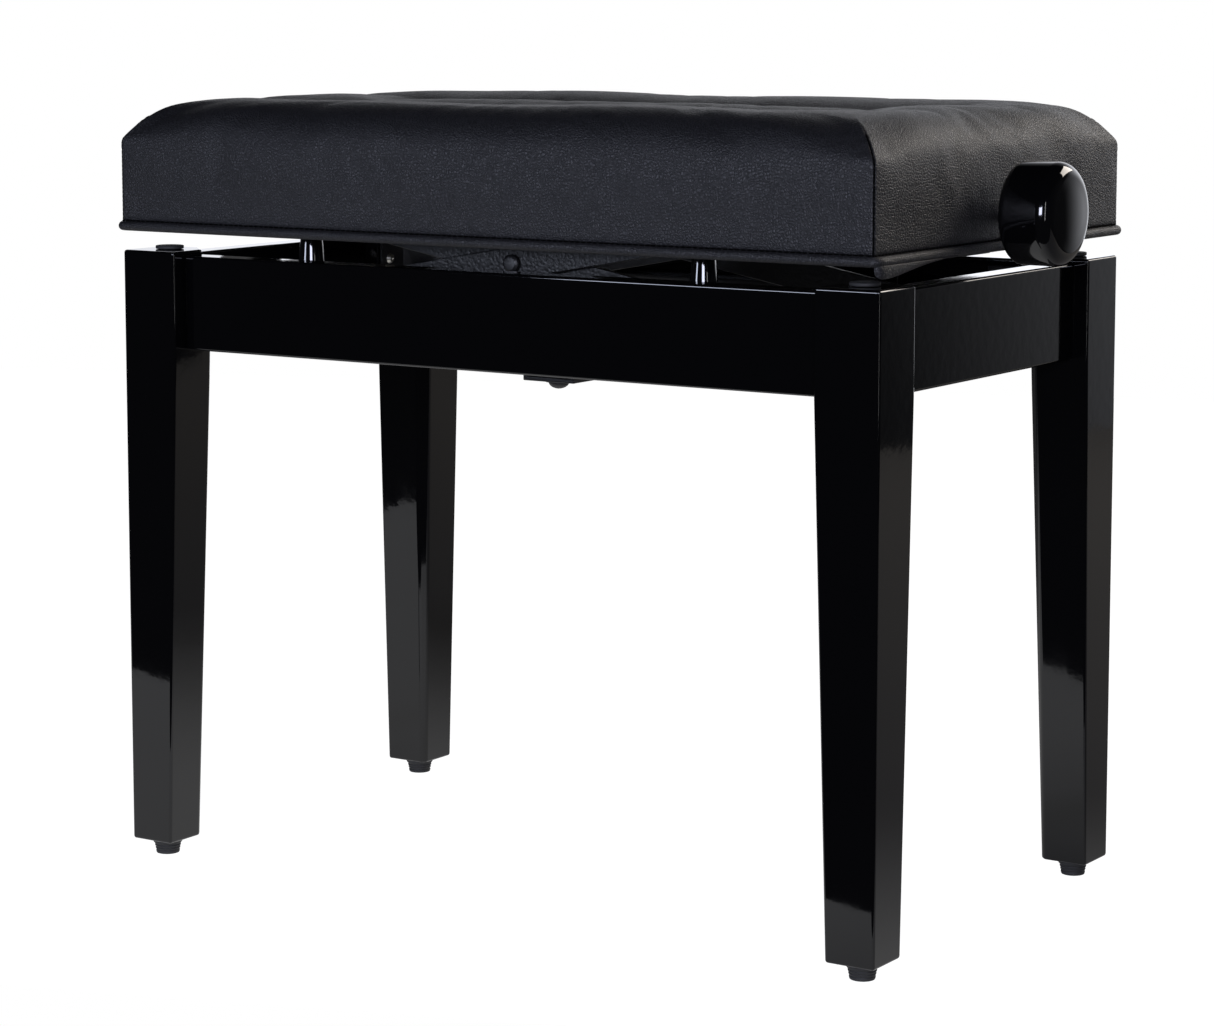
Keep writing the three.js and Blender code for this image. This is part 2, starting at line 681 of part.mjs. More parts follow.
// A corded welt round the bottom of the cover, with its two ends butted at the back. Each
// station is a point of the cord's middle and the direction that points away from the seat.
function piping() {
  const bend = pipingRadius + fitGap; // about the sharp corners of the seat box
  const cornerSteps = 4;
  const stations = [[-fitGap, boxHalfY + bend, Math.PI / 2]];
  [[-1, 1], [-1, -1], [1, -1], [1, 1]].forEach(([x, y], quarter) => {
    for (let i = 0; i <= cornerSteps; i += 1) {
      const outward = ((quarter + 1 + i / cornerSteps) * Math.PI) / 2;
      stations.push([
        x * boxHalfX + bend * Math.cos(outward), y * boxHalfY + bend * Math.sin(outward), outward,
      ]);
    }
  });
  stations.push([fitGap, boxHalfY + bend, Math.PI / 2]);
  const sections = 10;
  return loft(stations.map(([x, y, outward]) => Array.from({ length: sections }, (_, i) => {
    const angle = (-2 * Math.PI * i) / sections;
    const out = pipingRadius * Math.cos(angle);
    return [
      x + out * Math.cos(outward), y + out * Math.sin(outward),
      pipingZ + pipingRadius * Math.sin(angle),
    ];
  })));
}
add('piping', piping(), leatherette());

export default bench;
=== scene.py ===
# Adjustable piano bench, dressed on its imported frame: polished black legs and rails, a scissor
# lift of black steel turned by a hand spindle, and a seat padded under black leatherette.
# Places are worked out from the frame, in metres, with the front towards -Y and the floor at 0.
import math

import bmesh
import bpy
import numpy as np
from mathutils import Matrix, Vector


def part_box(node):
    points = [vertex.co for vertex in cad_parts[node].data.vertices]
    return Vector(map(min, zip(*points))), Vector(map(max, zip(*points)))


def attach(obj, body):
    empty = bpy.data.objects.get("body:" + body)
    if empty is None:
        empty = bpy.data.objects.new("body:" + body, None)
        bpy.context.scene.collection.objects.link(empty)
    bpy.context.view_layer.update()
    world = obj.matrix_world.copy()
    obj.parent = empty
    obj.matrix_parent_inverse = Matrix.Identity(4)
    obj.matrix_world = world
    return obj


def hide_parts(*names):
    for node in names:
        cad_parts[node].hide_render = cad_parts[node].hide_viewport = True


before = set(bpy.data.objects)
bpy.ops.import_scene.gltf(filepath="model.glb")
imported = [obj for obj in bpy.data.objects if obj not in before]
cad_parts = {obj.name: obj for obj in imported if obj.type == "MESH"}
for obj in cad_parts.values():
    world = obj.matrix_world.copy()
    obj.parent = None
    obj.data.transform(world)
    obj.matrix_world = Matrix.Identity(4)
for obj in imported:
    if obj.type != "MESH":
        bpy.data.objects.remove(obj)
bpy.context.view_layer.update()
scene = bpy.context.scene
MM = 0.001

# -------------------- camera
# A long lens at about sitting eye height, off the front right corner and looking slightly
# down. The shift lowers the frame on its film, so that the legs stay nearly upright.


def into_scene(name, data):
    made = bpy.data.objects.new(name, data)
    scene.collection.objects.link(made)
    return made


camera_data = bpy.data.cameras.new("studio_camera")
camera = into_scene("studio_camera", camera_data)
camera.location = (1.1561, -1.7645, 0.5548)
view_bearing = math.radians(33.37)
camera.rotation_euler = (math.radians(90 - 6.7), 0, view_bearing)
camera_data.sensor_width = 36
camera_data.lens = 99.1
camera_data.shift_y = -0.101
camera_data.clip_start, camera_data.clip_end = 0.05, 60
scene.camera = camera

# -------------------- floor and light
# A sheet of white studio paper that ends just in front of the bench, softly lit. The light
# comes off a white backdrop behind, while the room in front stays dark, which keeps the
# polished front black. Colours are shown as they are, with no film curve.
scene.view_settings.view_transform = "Standard"


def linear(code):
    """A colour from its sRGB hex code, as the linear RGBA that shaders take."""
    parts = [int(code[i : i + 2], 16) / 255 for i in (1, 3, 5)]
    return (*[c / 12.92 if c <= 0.04045 else ((c + 0.055) / 1.055) ** 2.4 for c in parts], 1)


def add_node(tree, kind, sockets=None, **settings):
    """Adds a node, with its settings, and its sockets set to values or joined to others."""
    made = tree.nodes.new(kind)
    for name, value in settings.items():
        setattr(made, name, value)
    for key, value in (sockets or {}).items():
        if isinstance(value, bpy.types.NodeSocket):
            tree.links.new(value, made.inputs[key])
        else:
            made.inputs[key].default_value = value
    return made


def new_finish(name, colour, **constants):
    """A material with these constants on its shader. Gives it, its shader and its place."""
    material = bpy.data.materials.new(name)
    material.use_nodes = True
    tree = material.node_tree
    shader = tree.nodes["Principled BSDF"]
    shader.inputs["Base Color"].default_value = linear(colour)
    for socket, value in constants.items():
        shader.inputs[socket].default_value = value
    place = add_node(tree, "ShaderNodeTexCoord").outputs["Object"]
    return material, shader, place


sheet_bearing = math.radians(20)
ahead = Vector((-math.sin(sheet_bearing), math.cos(sheet_bearing), 0))
aside = Vector((math.cos(sheet_bearing), math.sin(sheet_bearing), 0))
sheet_front, sheet_back, sheet_half = -0.342, 2.6, 1.9
floor_mesh = bpy.data.meshes.new("studio_floor")
floor_mesh.from_pydata([ahead * along + aside * across for along, across in (
    (sheet_front, -sheet_half), (sheet_front, sheet_half), (sheet_back, sheet_half),
    (sheet_back, -sheet_half))], [], [[0, 1, 2, 3]])
into_scene("studio_floor", floor_mesh)
# Matt white background paper that glows. To the camera it shows an even white. The light it throws
# back at the bench is a painted pool of light that fades away from the middle.
paper, shader, place = new_finish("glowing_matt_background_paper", "#8e8e8e", Roughness=0.9)
tree = shader.id_data
from_middle = add_node(tree, "ShaderNodeVectorMath", {0: place, 1: (-0.35, -0.45, 0)},
                       operation="DISTANCE")
# Painted light: this pool is the paper's own glow, which lights the bench in place of a lamp.
painted_light_pool = add_node(tree, "ShaderNodeMapRange",
                {"Value": from_middle.outputs["Value"], "From Min": 0.45, "From Max": 1.1,
                 "To Min": 0.62, "To Max": 0.0}, interpolation_type="SMOOTHSTEP")
paper_seen = add_node(tree, "ShaderNodeLightPath")
paper_glow = add_node(tree, "ShaderNodeMapRange",
                      {"Value": paper_seen.outputs["Is Camera Ray"],
                       "To Min": painted_light_pool.outputs["Result"], "To Max": 0.95})
shader.inputs["Emission Color"].default_value = linear("#ffffff")
tree.links.new(paper_glow.outputs["Result"], shader.inputs["Emission Strength"])
floor_mesh.materials.append(paper)

world = bpy.data.worlds.new("studio")
scene.world = world
world.use_nodes = True
sky = world.node_tree
backdrop_bearing = Vector((-0.2, 0.9, 0.1)).normalized()
sky_place = add_node(sky, "ShaderNodeTexCoord")
sky_toward = add_node(sky, "ShaderNodeVectorMath",
                      {0: sky_place.outputs["Generated"], 1: backdrop_bearing},
                      operation="DOT_PRODUCT")
sky_glow = add_node(sky, "ShaderNodeMapRange",
                    {"Value": sky_toward.outputs["Value"], "From Min": 0.715, "From Max": 0.97,
                     "To Min": 0.02, "To Max": 1.8}, interpolation_type="SMOOTHSTEP")
sky_height = add_node(sky, "ShaderNodeSeparateXYZ", {"Vector": sky_place.outputs["Generated"]})
sky_low = add_node(sky, "ShaderNodeMapRange",
                   {"Value": sky_height.outputs["Z"], "From Min": 0.15, "From Max": 0.6,
                    "To Min": 1.0, "To Max": 0.15}, interpolation_type="SMOOTHSTEP")
sky_band = add_node(sky, "ShaderNodeMath", {0: sky_glow.outputs["Result"],
                                            1: sky_low.outputs["Result"]},
                    operation="MULTIPLY")
sky_seen = add_node(sky, "ShaderNodeLightPath")
sky_light = add_node(sky, "ShaderNodeBackground", {"Color": linear("#f6f8ff"),
                                                   "Strength": sky_band.outputs["Value"]})
sky_white = add_node(sky, "ShaderNodeBackground", {"Color": (1, 1, 1, 1), "Strength": 1.0})
sky_both = add_node(sky, "ShaderNodeMixShader",
                    {0: sky_seen.outputs["Is Camera Ray"], 1: sky_light.outputs[0],
                     2: sky_white.outputs[0]})
sky.links.new(sky_both.outputs[0], sky.nodes["World Output"].inputs["Surface"])


def soft_box(name, place, aim, width, height, power, colour):
    """A rectangular softbox that faces a point."""
    light = bpy.data.lights.new(name, "AREA")
    light.shape, light.size, light.size_y = "RECTANGLE", width, height
    light.energy, light.color = power, linear(colour)[:3]
    box = into_scene(name, light)
    box.location = place
    box.rotation_euler = (Vector(aim) - Vector(place)).to_track_quat("-Z", "Y").to_euler()


soft_box("rear_softbox", (1.3, 2.2, 1.7), (0, 0, 0.4), 1.4, 1.0, 34, "#fff6ec")
soft_box("front_softbox", (1.35, -2.35, 0.8), (0, 0, 0.35), 0.9, 0.7, 52, "#e4e8ff")
soft_box("left_softbox", (-1.0, -2.1, 0.78), (0.1, -0.15, 0.39), 0.5, 0.6, 16, "#e0e8ff")
soft_box("right_strip", (2.4, -1.3, 0.7), (0, 0, 0.3), 0.12, 1.4, 4, "#ffffff")

# -------------------- legs
# Solid wood, square over the rails and tapered on the two inner faces, with the inner corner
# taken off. Sprayed with black polyester lacquer, then polished to a mirror.


def new_piece(name, points, faces, material, smooth=True):
    """A mesh object with its place in its mesh. Face winding is put right here."""
    mesh = bpy.data.meshes.new(name)
    mesh.from_pydata([tuple(p) for p in points], [], faces)
    work = bmesh.new()
    work.from_mesh(mesh)
    bmesh.ops.recalc_face_normals(work, faces=work.faces)
    work.to_mesh(mesh)
    work.free()
    mesh.materials.append(material)
    if smooth:
        mesh.shade_smooth()
    return into_scene(f"{name}_piece", mesh)


def ring_faces(count, rings, closed=True, looped=False):
    """Quads that join rings of points, each with this many points."""
    total = count * rings
    return [[k * count + i, k * count + (i + 1) % count,
             ((k + 1) * count + (i + 1) % count) % total, ((k + 1) * count + i) % total]
            for k in range(rings if looped else rings - 1)
            for i in range(count if closed else count - 1)]


def bake(piece):
    """Applies a piece's modifiers."""
    piece.update_tag()
    graph = bpy.context.evaluated_depsgraph_get()
    mesh = bpy.data.meshes.new_from_object(piece.evaluated_get(graph), depsgraph=graph)
    piece.modifiers.clear()
    piece.data = mesh
    return piece


def ease(piece, width, steps=3, sharper_than=28):
    """Rounds a piece's edges, and keeps its flats flat under the gloss."""
    rounding = piece.modifiers.new("ease", "BEVEL")
    rounding.width, rounding.segments = width, steps
    rounding.limit_method, rounding.angle_limit = "ANGLE", math.radians(sharper_than)
    rounding.harden_normals = True
    return bake(piece)


def fix(piece, body, slot, *nodes):
    """Rides a piece on its body, and stands it in for its CAD nodes. Its slot is not used."""
    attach(piece, body)
    if nodes:
        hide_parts(*nodes)
    return piece


# High-gloss black polyester lacquer, sprayed and polished. It is nearly black, mirror clear,
# and its only texture is a faint orange peel about 7 mm across and a few soft smears.
lacquer, shader, place = new_finish("polished_black_polyester_lacquer", "#040405",
                                          Roughness=0.03, IOR=1.5)


def clouds(place, scale, detail, **more):
    """A noise texture's value. Its scale is in waves per metre."""
    sockets = {"Vector": place, "Scale": scale, "Detail": detail, **more}
    return add_node(place.id_data, "ShaderNodeTexNoise", sockets).outputs["Fac"]


def emboss(shader, height, strength, distance):
    """Presses a height into a finish, as deep as the distance."""
    tree = shader.id_data
    bump = add_node(tree, "ShaderNodeBump", {"Height": height, "Strength": strength,
                                             "Distance": distance})
    tree.links.new(bump.outputs["Normal"], shader.inputs["Normal"])


def vary_gloss(shader, value, low, high, start=0.0, end=1.0):
    """Spreads a finish's roughness from low to high as a value goes from start to end."""
    tree = shader.id_data
    spread = add_node(tree, "ShaderNodeMapRange", {"Value": value, "From Min": start,
                                                   "From Max": end, "To Min": low,
                                                   "To Max": high})
    tree.links.new(spread.outputs["Result"], shader.inputs["Roughness"])


def tint(shader, value, dark, light):
    """Colours a finish between two sRGB codes. Gives the colour's socket."""
    tree = shader.id_data
    ramp = add_node(tree, "ShaderNodeValToRGB", {"Fac": value})
    for element, code in zip(ramp.color_ramp.elements, (dark, light)):
        element.color = linear(code)
    tree.links.new(ramp.outputs["Color"], shader.inputs["Base Color"])
    return ramp.outputs["Color"]


emboss(shader, clouds(place, 140, 2, Roughness=0.4), 0.05, 0.4 * MM)
vary_gloss(shader, clouds(place, 11, 5, Roughness=0.65, Distortion=1.2),
           0.025, 0.075, 0.35, 0.75)

corner_signs = {"front_left": (-1, -1), "front_right": (1, -1),
                "rear_left": (-1, 1), "rear_right": (1, 1)}
leg_top_size, leg_foot_size = 42 * MM, 32 * MM
leg_top_chamfer, leg_low_chamfer, leg_foot_chamfer = 14 * MM, 7 * MM, 3 * MM
lacquer_round = 1.8 * MM
rail_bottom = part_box("rail_front")[0].z


def leg_points(side_x, side_y, outer, size, chamfer, z):
    """The five corners of a leg at one height, measured inwards from its outer corner."""
    inwards = [(0, 0), (size, 0), (size, size - chamfer), (size - chamfer, size), (0, size)]
    return [(side_x * (outer.x - u), side_y * (outer.y - v), z) for u, v in inwards]


for corner, (side_x, side_y) in corner_signs.items():
    low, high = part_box(f"leg_{corner}")
    outer = Vector((max(abs(low.x), abs(high.x)), max(abs(low.y), abs(high.y))))
    foot = leg_points(side_x, side_y, outer, leg_foot_size, leg_foot_chamfer, low.z)
    knee = leg_points(side_x, side_y, outer, leg_top_size, leg_low_chamfer, rail_bottom)
    ledge = leg_points(side_x, side_y, outer, leg_top_size, leg_top_chamfer, rail_bottom)[2:4]
    head = leg_points(side_x, side_y, outer, leg_top_size, leg_top_chamfer, high.z)
    leg = new_piece(
        f"leg_{corner}", [*foot, *knee, *ledge, *head],
        [[0, 1, 2, 3, 4], [0, 1, 6, 13, 12], [0, 12, 16, 9, 4], [1, 2, 7, 10, 6],
         [6, 10, 14, 13], [2, 3, 8, 7], [7, 8, 11, 10], [10, 11, 15, 14], [3, 4, 9, 11, 8],
         [11, 9, 16, 15], [12, 13, 14, 15, 16]],
        lacquer,
    )
    ease(leg, lacquer_round)
    fix(leg, "frame", "lacquered_wood", f"leg_{corner}")

# -------------------- rails
# Four boards between the legs, set back from their outer faces and finished like them. Their
# ends butt against the legs, so the joint shows as a fine line.


def block_points(low, high):
    return [(x, y, z) for x in (low.x, high.x) for y in (low.y, high.y) for z in (low.z, high.z)]


BLOCK_FACES = [[0, 1, 3, 2], [4, 6, 7, 5], [0, 4, 5, 1], [2, 3, 7, 6], [0, 2, 6, 4], [1, 5, 7, 3]]
for side in ("front", "rear", "left", "right"):
    rail = new_piece(f"rail_{side}", block_points(*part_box(f"rail_{side}")), BLOCK_FACES, lacquer)
    ease(rail, lacquer_round)
    fix(rail, "frame", "lacquered_wood", f"rail_{side}")

# -------------------- feet and pads
# Turned rubber glides nailed under the legs, and thin rubber discs on the leg tops that the
# seat box would land on.


def rounded_profile(corners, radius, steps=3):
    """A turned profile with its inner corners rounded. Corners are (radius, height)."""
    out = [Vector(corners[0])]
    for before, here, after in zip(corners, corners[1:], corners[2:]):
        before, here, after = Vector(before), Vector(here), Vector(after)
        back, on = before - here, after - here
        reach = min(radius, back.length * 0.45, on.length * 0.45)
        start, end = here + back.normalized() * reach, here + on.normalized() * reach
        for i in range(steps + 1):
            t = i / steps
            out.append(start * (1 - t) ** 2 + here * 2 * t * (1 - t) + end * t ** 2)
    out.append(Vector(corners[-1]))
    return out


def turned(name, profile, place, direction, material, sides=48):
    """A turned piece. The profile runs from one end on the axis to the other, in metres."""
    turn = Vector((0, 0, 1)).rotation_difference(Vector(direction)).to_matrix()
    rings, points, faces = [], [], []
    for radius, height in profile:
        if radius < 1e-6:
            rings.append([len(points)])
            points.append(Vector((0, 0, height)))
            continue
        rings.append(list(range(len(points), len(points) + sides)))
        for i in range(sides):
            angle = math.tau * i / sides
            points.append(Vector((radius * math.cos(angle), radius * math.sin(angle), height)))
    for a, b in zip(rings, rings[1:]):
        for i in range(sides):
            j = (i + 1) % sides
            if len(a) == 1 and len(b) > 1:
                faces.append([a[0], b[i], b[j]])
            elif len(b) == 1 and len(a) > 1:
                faces.append([a[i], a[j], b[0]])
            elif len(a) > 1:
                faces.append([a[i], a[j], b[j], b[i]])
    if len(rings[0]) > 1 and len(rings[-1]) > 1:  # a ring, closed on itself
        a, b = rings[-1], rings[0]
        faces += [[a[i], a[(i + 1) % sides], b[(i + 1) % sides], b[i]] for i in range(sides)]
    points = [turn @ p + Vector(place) for p in points]
    piece = new_piece(name, points, faces, material)
    piece.data.set_sharp_from_angle(angle=math.radians(38))
    return piece


# Black moulded rubber. Matt, with a fine dusty mottle about 2 mm across.
rubber, shader, place = new_finish("black_moulded_rubber", "#161617", Roughness=0.7,
                                         IOR=1.52)
dust = clouds(place, 500, 4)
tint(shader, dust, "#101011", "#222223")
emboss(shader, dust, 0.25, 0.1 * MM)



def upright_size(node):
    """The radius and height of a round CAD node that stands upright."""
    low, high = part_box(node)
    return (high.x - low.x) / 2, high.z - low.z


def upright(node, profile, material, slot):
    """A turned piece that stands where its CAD node does."""
    low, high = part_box(node)
    place = ((low.x + high.x) / 2, (low.y + high.y) / 2, low.z)
    return fix(turned(node, profile, place, (0, 0, 1), material), "frame", slot, node)


rib_places = (1.8, 3.6, 5.4)  # mm up the foot
rib = ((0, 0), (0.35, -0.5), (0.8, -0.4), (1.1, 0.1))  # mm up and out
for corner in corner_signs:
    top, height = upright_size(f"foot_{corner}")
    base = top - 2.1 * MM
    outline = [(0, 0), (base, 0)]
    for z in rib_places:  # moulded ribs round the taper
        swell = base + (top - base) * z * MM / height
        outline += [(swell + out * MM, (z + up) * MM) for up, out in rib]
    outline += [(top, height - 2.4 * MM), (top, height), (0, height)]
    upright(f"foot_{corner}", rounded_profile(outline, 0.5 * MM, 2), rubber, "rubber")
    radius, height = upright_size(f"leg_pad_{corner}")
    disc = rounded_profile([(0, 0), (radius, 0), (radius, height), (0, height)], 0.6 * MM)
    upright(f"leg_pad_{corner}", disc, rubber, "rubber")

# -------------------- corner brackets and bolts
# A folded steel strip across each corner takes a hanger bolt out of the leg's flat and pulls
# the joint tight. The strip is painted black, the bolt, washer and nut are zinc plated.


def cad_copy(node, material):
    """The shape of a CAD node as one clean mesh, to finish here."""
    piece = new_piece(node, [], [], material)
    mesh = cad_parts[node].data.copy()
    mesh.materials.clear()
    mesh.materials.append(material)
    work = bmesh.new()
    work.from_mesh(mesh)
    bmesh.ops.remove_doubles(work, verts=work.verts, dist=1e-5)
    bmesh.ops.dissolve_limit(work, angle_limit=math.radians(0.6), verts=work.verts,
                             edges=work.edges)
    work.to_mesh(mesh)
    work.free()
    mesh.shade_smooth()
    piece.data = mesh
    return piece


def eased_copy(node, material, width, body, slot):
    """A CAD node's own shape with its edges rounded, in its place on its body."""
    return fix(ease(cad_copy(node, material), width, 2), body, slot, node)


# Black powder coat on pressed steel. Satin, with a fine orange peel about 1.5 mm across and
# slightly thinner, greyer film along it.
black_steel, shader, place = new_finish("satin_black_powder_coat", "#131314",
                                              Roughness=0.42, IOR=1.5)
tint(shader, clouds(place, 40, 4), "#0e0e0f", "#1c1c1e")
emboss(shader, clouds(place, 650, 3), 0.3, 0.12 * MM)

# Zinc plated steel with a clear passivation. Bright grey metal, slightly yellow in cloudy
# patches about 8 mm across that break up its shine.
zinc, shader, place = new_finish("zinc_plated_steel", "#b9b7b0", Metallic=1.0,
                                       Roughness=0.32)
bloom = clouds(place, 120, 5)
tint(shader, bloom, "#a9a391", "#c8c9c8")
vary_gloss(shader, bloom, 0.22, 0.45)
emboss(shader, bloom, 0.15, 0.1 * MM)

for corner in corner_signs:
    eased_copy(f"corner_bracket_{corner}", black_steel, 0.4 * MM, "frame", "black_steel")
    eased_copy(f"leg_bolt_{corner}", zinc, 0.35 * MM, "frame", "zinc_steel")

# -------------------- guides and strut
# Folded steel sections: channels inside the rails, angles under the seat board, and a flat
# bar with an open box under it that ties the two channels together. All are painted black.
for side in ("front", "rear"):
    eased_copy(f"lower_guide_{side}", black_steel, 0.5 * MM, "frame", "black_steel")
    eased_copy(f"upper_guide_{side}", black_steel, 0.5 * MM, "seat", "black_steel")
eased_copy("lower_strut", black_steel, 0.6 * MM, "frame", "black_steel")
strut_low, strut_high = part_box("lower_strut")
strut_middle = (strut_low + strut_high) / 2
for side, sign in (("front", -1), ("rear", 1)):  # domed bolt heads under the box
    dome = [(0, -5.2 * MM)] + [
        (6.5 * MM * math.sin(a), -0.8 * MM - 4.4 * MM * math.cos(a))
        for a in (math.pi / 2 * k / 8 for k in range(1, 9))]
    dome += [(8.5 * MM, -0.8 * MM), (8.5 * MM, 0.1 * MM), (0, 0.1 * MM)]
    head = turned(f"strut_bolt_{side}", dome, (strut_middle.x, sign * 50 * MM, strut_low.z),
                  (0, 0, 1), black_steel)
    fix(head, "frame", "black_steel")

# -------------------- buffer posts
# Turned, tapered plastic posts that stand in the channels and stop the seat box from below.

# Black phenolic resin, moulded and polished. Deep black with crisp highlights, and a
# trace of waviness about 10 mm long from the mould.
gloss_plastic, shader, place = new_finish("polished_black_phenolic", "#060607",
                                                Roughness=0.06, IOR=1.53)
emboss(shader, clouds(place, 90, 1), 0.04, 0.4 * MM)
vary_gloss(shader, clouds(place, 60, 6, Roughness=0.7), 0.04, 0.11, 0.4, 0.8)

for corner in corner_signs:
    radius, height = upright_size(f"buffer_post_{corner}")
    cone = rounded_profile(
        [(0, 0), (radius, 0), (radius - 0.4 * MM, 40 * MM), (4 * MM, height), (0, height)],
        1.2 * MM, 5)
    upright(f"buffer_post_{corner}", cone, gloss_plastic, "gloss_plastic")

# -------------------- scissor arms
# Two pairs of flat bars with round ends, laser cut, crossed on a bolt in the middle and
# finished in textured paint that hides handling marks.

# Hammered black enamel. Satin with shallow dimples about 2 mm across that break up the light.
textured, shader, place = new_finish("hammered_black_enamel", "#0d0d0e", Roughness=0.35,
                                           IOR=1.42)
dimples = add_node(shader.id_data, "ShaderNodeTexVoronoi", {"Vector": place, "Scale": 520,
                                                  "Smoothness": 0.6}, feature="SMOOTH_F1")
emboss(shader, dimples.outputs["Distance"], 0.6, 0.3 * MM)
vary_gloss(shader, dimples.outputs["Distance"], 0.28, 0.5)

arm_pivots = {"arm_a": ("lower_pivot_shaft", "nut_bar"), "arm_b": ("upper_pivot_shaft",
                                                                   "roller_shaft")}


def centre(node):
    low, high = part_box(node)
    return (low + high) / 2


def arc(x, y, radius, first, span, steps):
    """Points round a centre, from a first angle and over a span, in degrees."""
    angles = [math.radians(first + span * i / steps) for i in range(steps + 1)]
    return [(x + radius * math.cos(a), y + radius * math.sin(a)) for a in angles]


arm_end = 10 * MM
for arm, (pin_from, pin_to) in arm_pivots.items():
    start, end = centre(pin_from), centre(pin_to)
    run = (end - start).normalized()
    across = Vector((0, 1, 0)).cross(run)
    for side in ("front", "rear"):
        low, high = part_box(f"{arm}_{side}")
        outline = [hub + run * u + across * v for hub, first in ((end, -90), (start, 90))
                   for u, v in arc(0, 0, arm_end, first, 180, 24)]
        count = len(outline)
        points = [(p.x, y, p.z) for y in (low.y, high.y) for p in outline]
        faces = [list(range(count)), list(range(count, 2 * count)), *ring_faces(count, 2)]
        bar = ease(new_piece(f"{arm}_{side}", points, faces, textured), 0.6 * MM, 2)
        fix(bar, "arms_a" if arm == "arm_a" else "arms_b", "textured_steel", f"{arm}_{side}")

for side in ("front", "rear"):
    eased_copy(f"middle_bolt_{side}", black_steel, 0.4 * MM, "arms_a", "black_steel")

# -------------------- cross shafts and rollers
# Turned, zinc plated steel shafts through both sides of the lift, riveted outside the guides.
# Two of them have a boss in the middle for the spindle. The rollers are black nylon.
shaft_bodies = {"lower_pivot_shaft": "frame", "upper_pivot_shaft": "seat",
                "roller_shaft": "arms_b", "nut_bar": "nut_bar"}
boss_radius, boss_half = 12 * MM, 18 * MM
for node, body in shaft_bodies.items():
    middle, reach = centre(node), (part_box(node)[1].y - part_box(node)[0].y) / 2
    body_end = 91.5 * MM if node != "nut_bar" else 96.1 * MM
    steps = [(0, -reach), (8 * MM, -reach), (8 * MM, 2.4 * MM - reach),
             (5 * MM, 2.4 * MM - reach), (5 * MM, -body_end), (7 * MM, -body_end)]
    if node in ("upper_pivot_shaft", "nut_bar"):
        steps += [(7 * MM, -boss_half), (boss_radius, -boss_half)]
    profile = steps + [(r, -h) for r, h in reversed(steps)]
    shaft = turned(node, rounded_profile(profile, 0.7 * MM), middle, (0, 1, 0), zinc, 40)
    fix(shaft, body, "zinc_steel", node)

# Black nylon, turned. Satin and slightly waxy, with a haze that changes every 3 mm or so.
nylon, shader, place = new_finish("turned_black_nylon", "#18181a", Roughness=0.4,
                                        IOR=1.53)
vary_gloss(shader, clouds(place, 300, 3), 0.32, 0.5)


def collar_profile(bore, radius, half, round_by):
    """A ring's section from the middle of its bore, round its outside and back."""
    corners = [(bore, 0), (bore, -half), (radius, -half), (radius, half), (bore, half),
               (bore, 0.01 * MM)]
    return rounded_profile(corners, round_by)


for side in ("front", "rear"):
    low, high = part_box(f"roller_{side}")
    ring = collar_profile(5.3 * MM, 8 * MM, (high.y - low.y) / 2, 0.5 * MM)
    roller = turned(f"roller_{side}", ring, (low + high) / 2, (0, 1, 0), nylon, 40)
    fix(roller, "arms_b", "nylon", f"roller_{side}")

# -------------------- spindle and knobs
# A zinc plated rod across the bench. Its right half has a fine thread that pulls the nut bar
# along; collars hold it in two bearing plates, and a moulded knob is pressed on each end.
low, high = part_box("spindle")
middle, rod_end = (low + high) / 2, (high.x - low.x) / 2
rod = turned("spindle", rounded_profile([(0, -rod_end), (5.4 * MM, -rod_end),
                                         (5.4 * MM, rod_end), (0, rod_end)], 0.6 * MM),
             middle, (1, 0, 0), zinc)
thread_from, thread_to, pitch = 90 * MM, 236 * MM, 2 * MM
per_turn, ridge = 20, []
turns = (thread_to - thread_from) / pitch
for i in range(int(turns * per_turn) + 1):
    angle = math.tau * i / per_turn
    fade = min(1, i / 10, (turns * per_turn - i) / 10)  # the thread runs out at both ends
    x = thread_from + pitch * i / per_turn
    for dx, radius in ((-0.8, 5.3), (-0.25, 5.3 + 0.7 * fade), (0.25, 5.3 + 0.7 * fade),
                       (0.8, 5.3)):
        ridge.append((x + dx * MM, middle.y + radius * MM * math.cos(angle),
                      middle.z + radius * MM * math.sin(angle)))
count = len(ridge) // 4
faces = ring_faces(4, count) + [[0, 1, 2, 3], list(range(4 * count - 4, 4 * count))]
thread = new_piece("spindle_thread", ridge, faces, zinc)
thread.data.set_sharp_from_angle(angle=math.radians(30))
fix(rod, "spindle", "zinc_steel", "spindle")
fix(thread, "spindle", "zinc_steel")

for end, sign in (("left", -1), ("right", 1)):
    low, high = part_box(f"knob_{end}")
    axis = Vector(((low.x if sign > 0 else high.x), (low.y + high.y) / 2, (low.z + high.z) / 2))
    reach, radius = high.x - low.x, (high.z - low.z) / 2
    back = 4 * MM  # the neck stands this far out of the body
    outline = [(0, 0), (13 * MM, 0), (13 * MM, back)]
    outline += arc(radius - 6 * MM, back + 6 * MM, 6 * MM, -90, 90, 8)
    outline += arc(radius - 9 * MM, reach - 10 * MM, 9 * MM, 0, 90, 12)
    outline += [((radius - 9 * MM) * share, reach - 1 * MM * share ** 2)
                for share in (0.75, 0.5, 0.25)]
    outline.append((0, reach))
    knob = turned(f"knob_{end}", outline, axis, (sign, 0, 0), gloss_plastic, 96)
    fix(knob, "spindle", "gloss_plastic", f"knob_{end}")
    low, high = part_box(f"thrust_collar_{end}")
    ring = collar_profile(6.3 * MM, 11 * MM, (high.x - low.x) / 2, 0.7 * MM)
    collar = turned(f"thrust_collar_{end}", ring, (low + high) / 2, (1, 0, 0), zinc)
    fix(collar, "spindle", "zinc_steel", f"thrust_collar_{end}")
    eased_copy(f"spindle_bearing_{end}", black_steel, 0.5 * MM, "seat", "black_steel")

# -------------------- seat box
# Four skirts glued under a board, all poplar plywood stained black. The cover's leatherette
# is drawn round their lower edges and stapled inside.

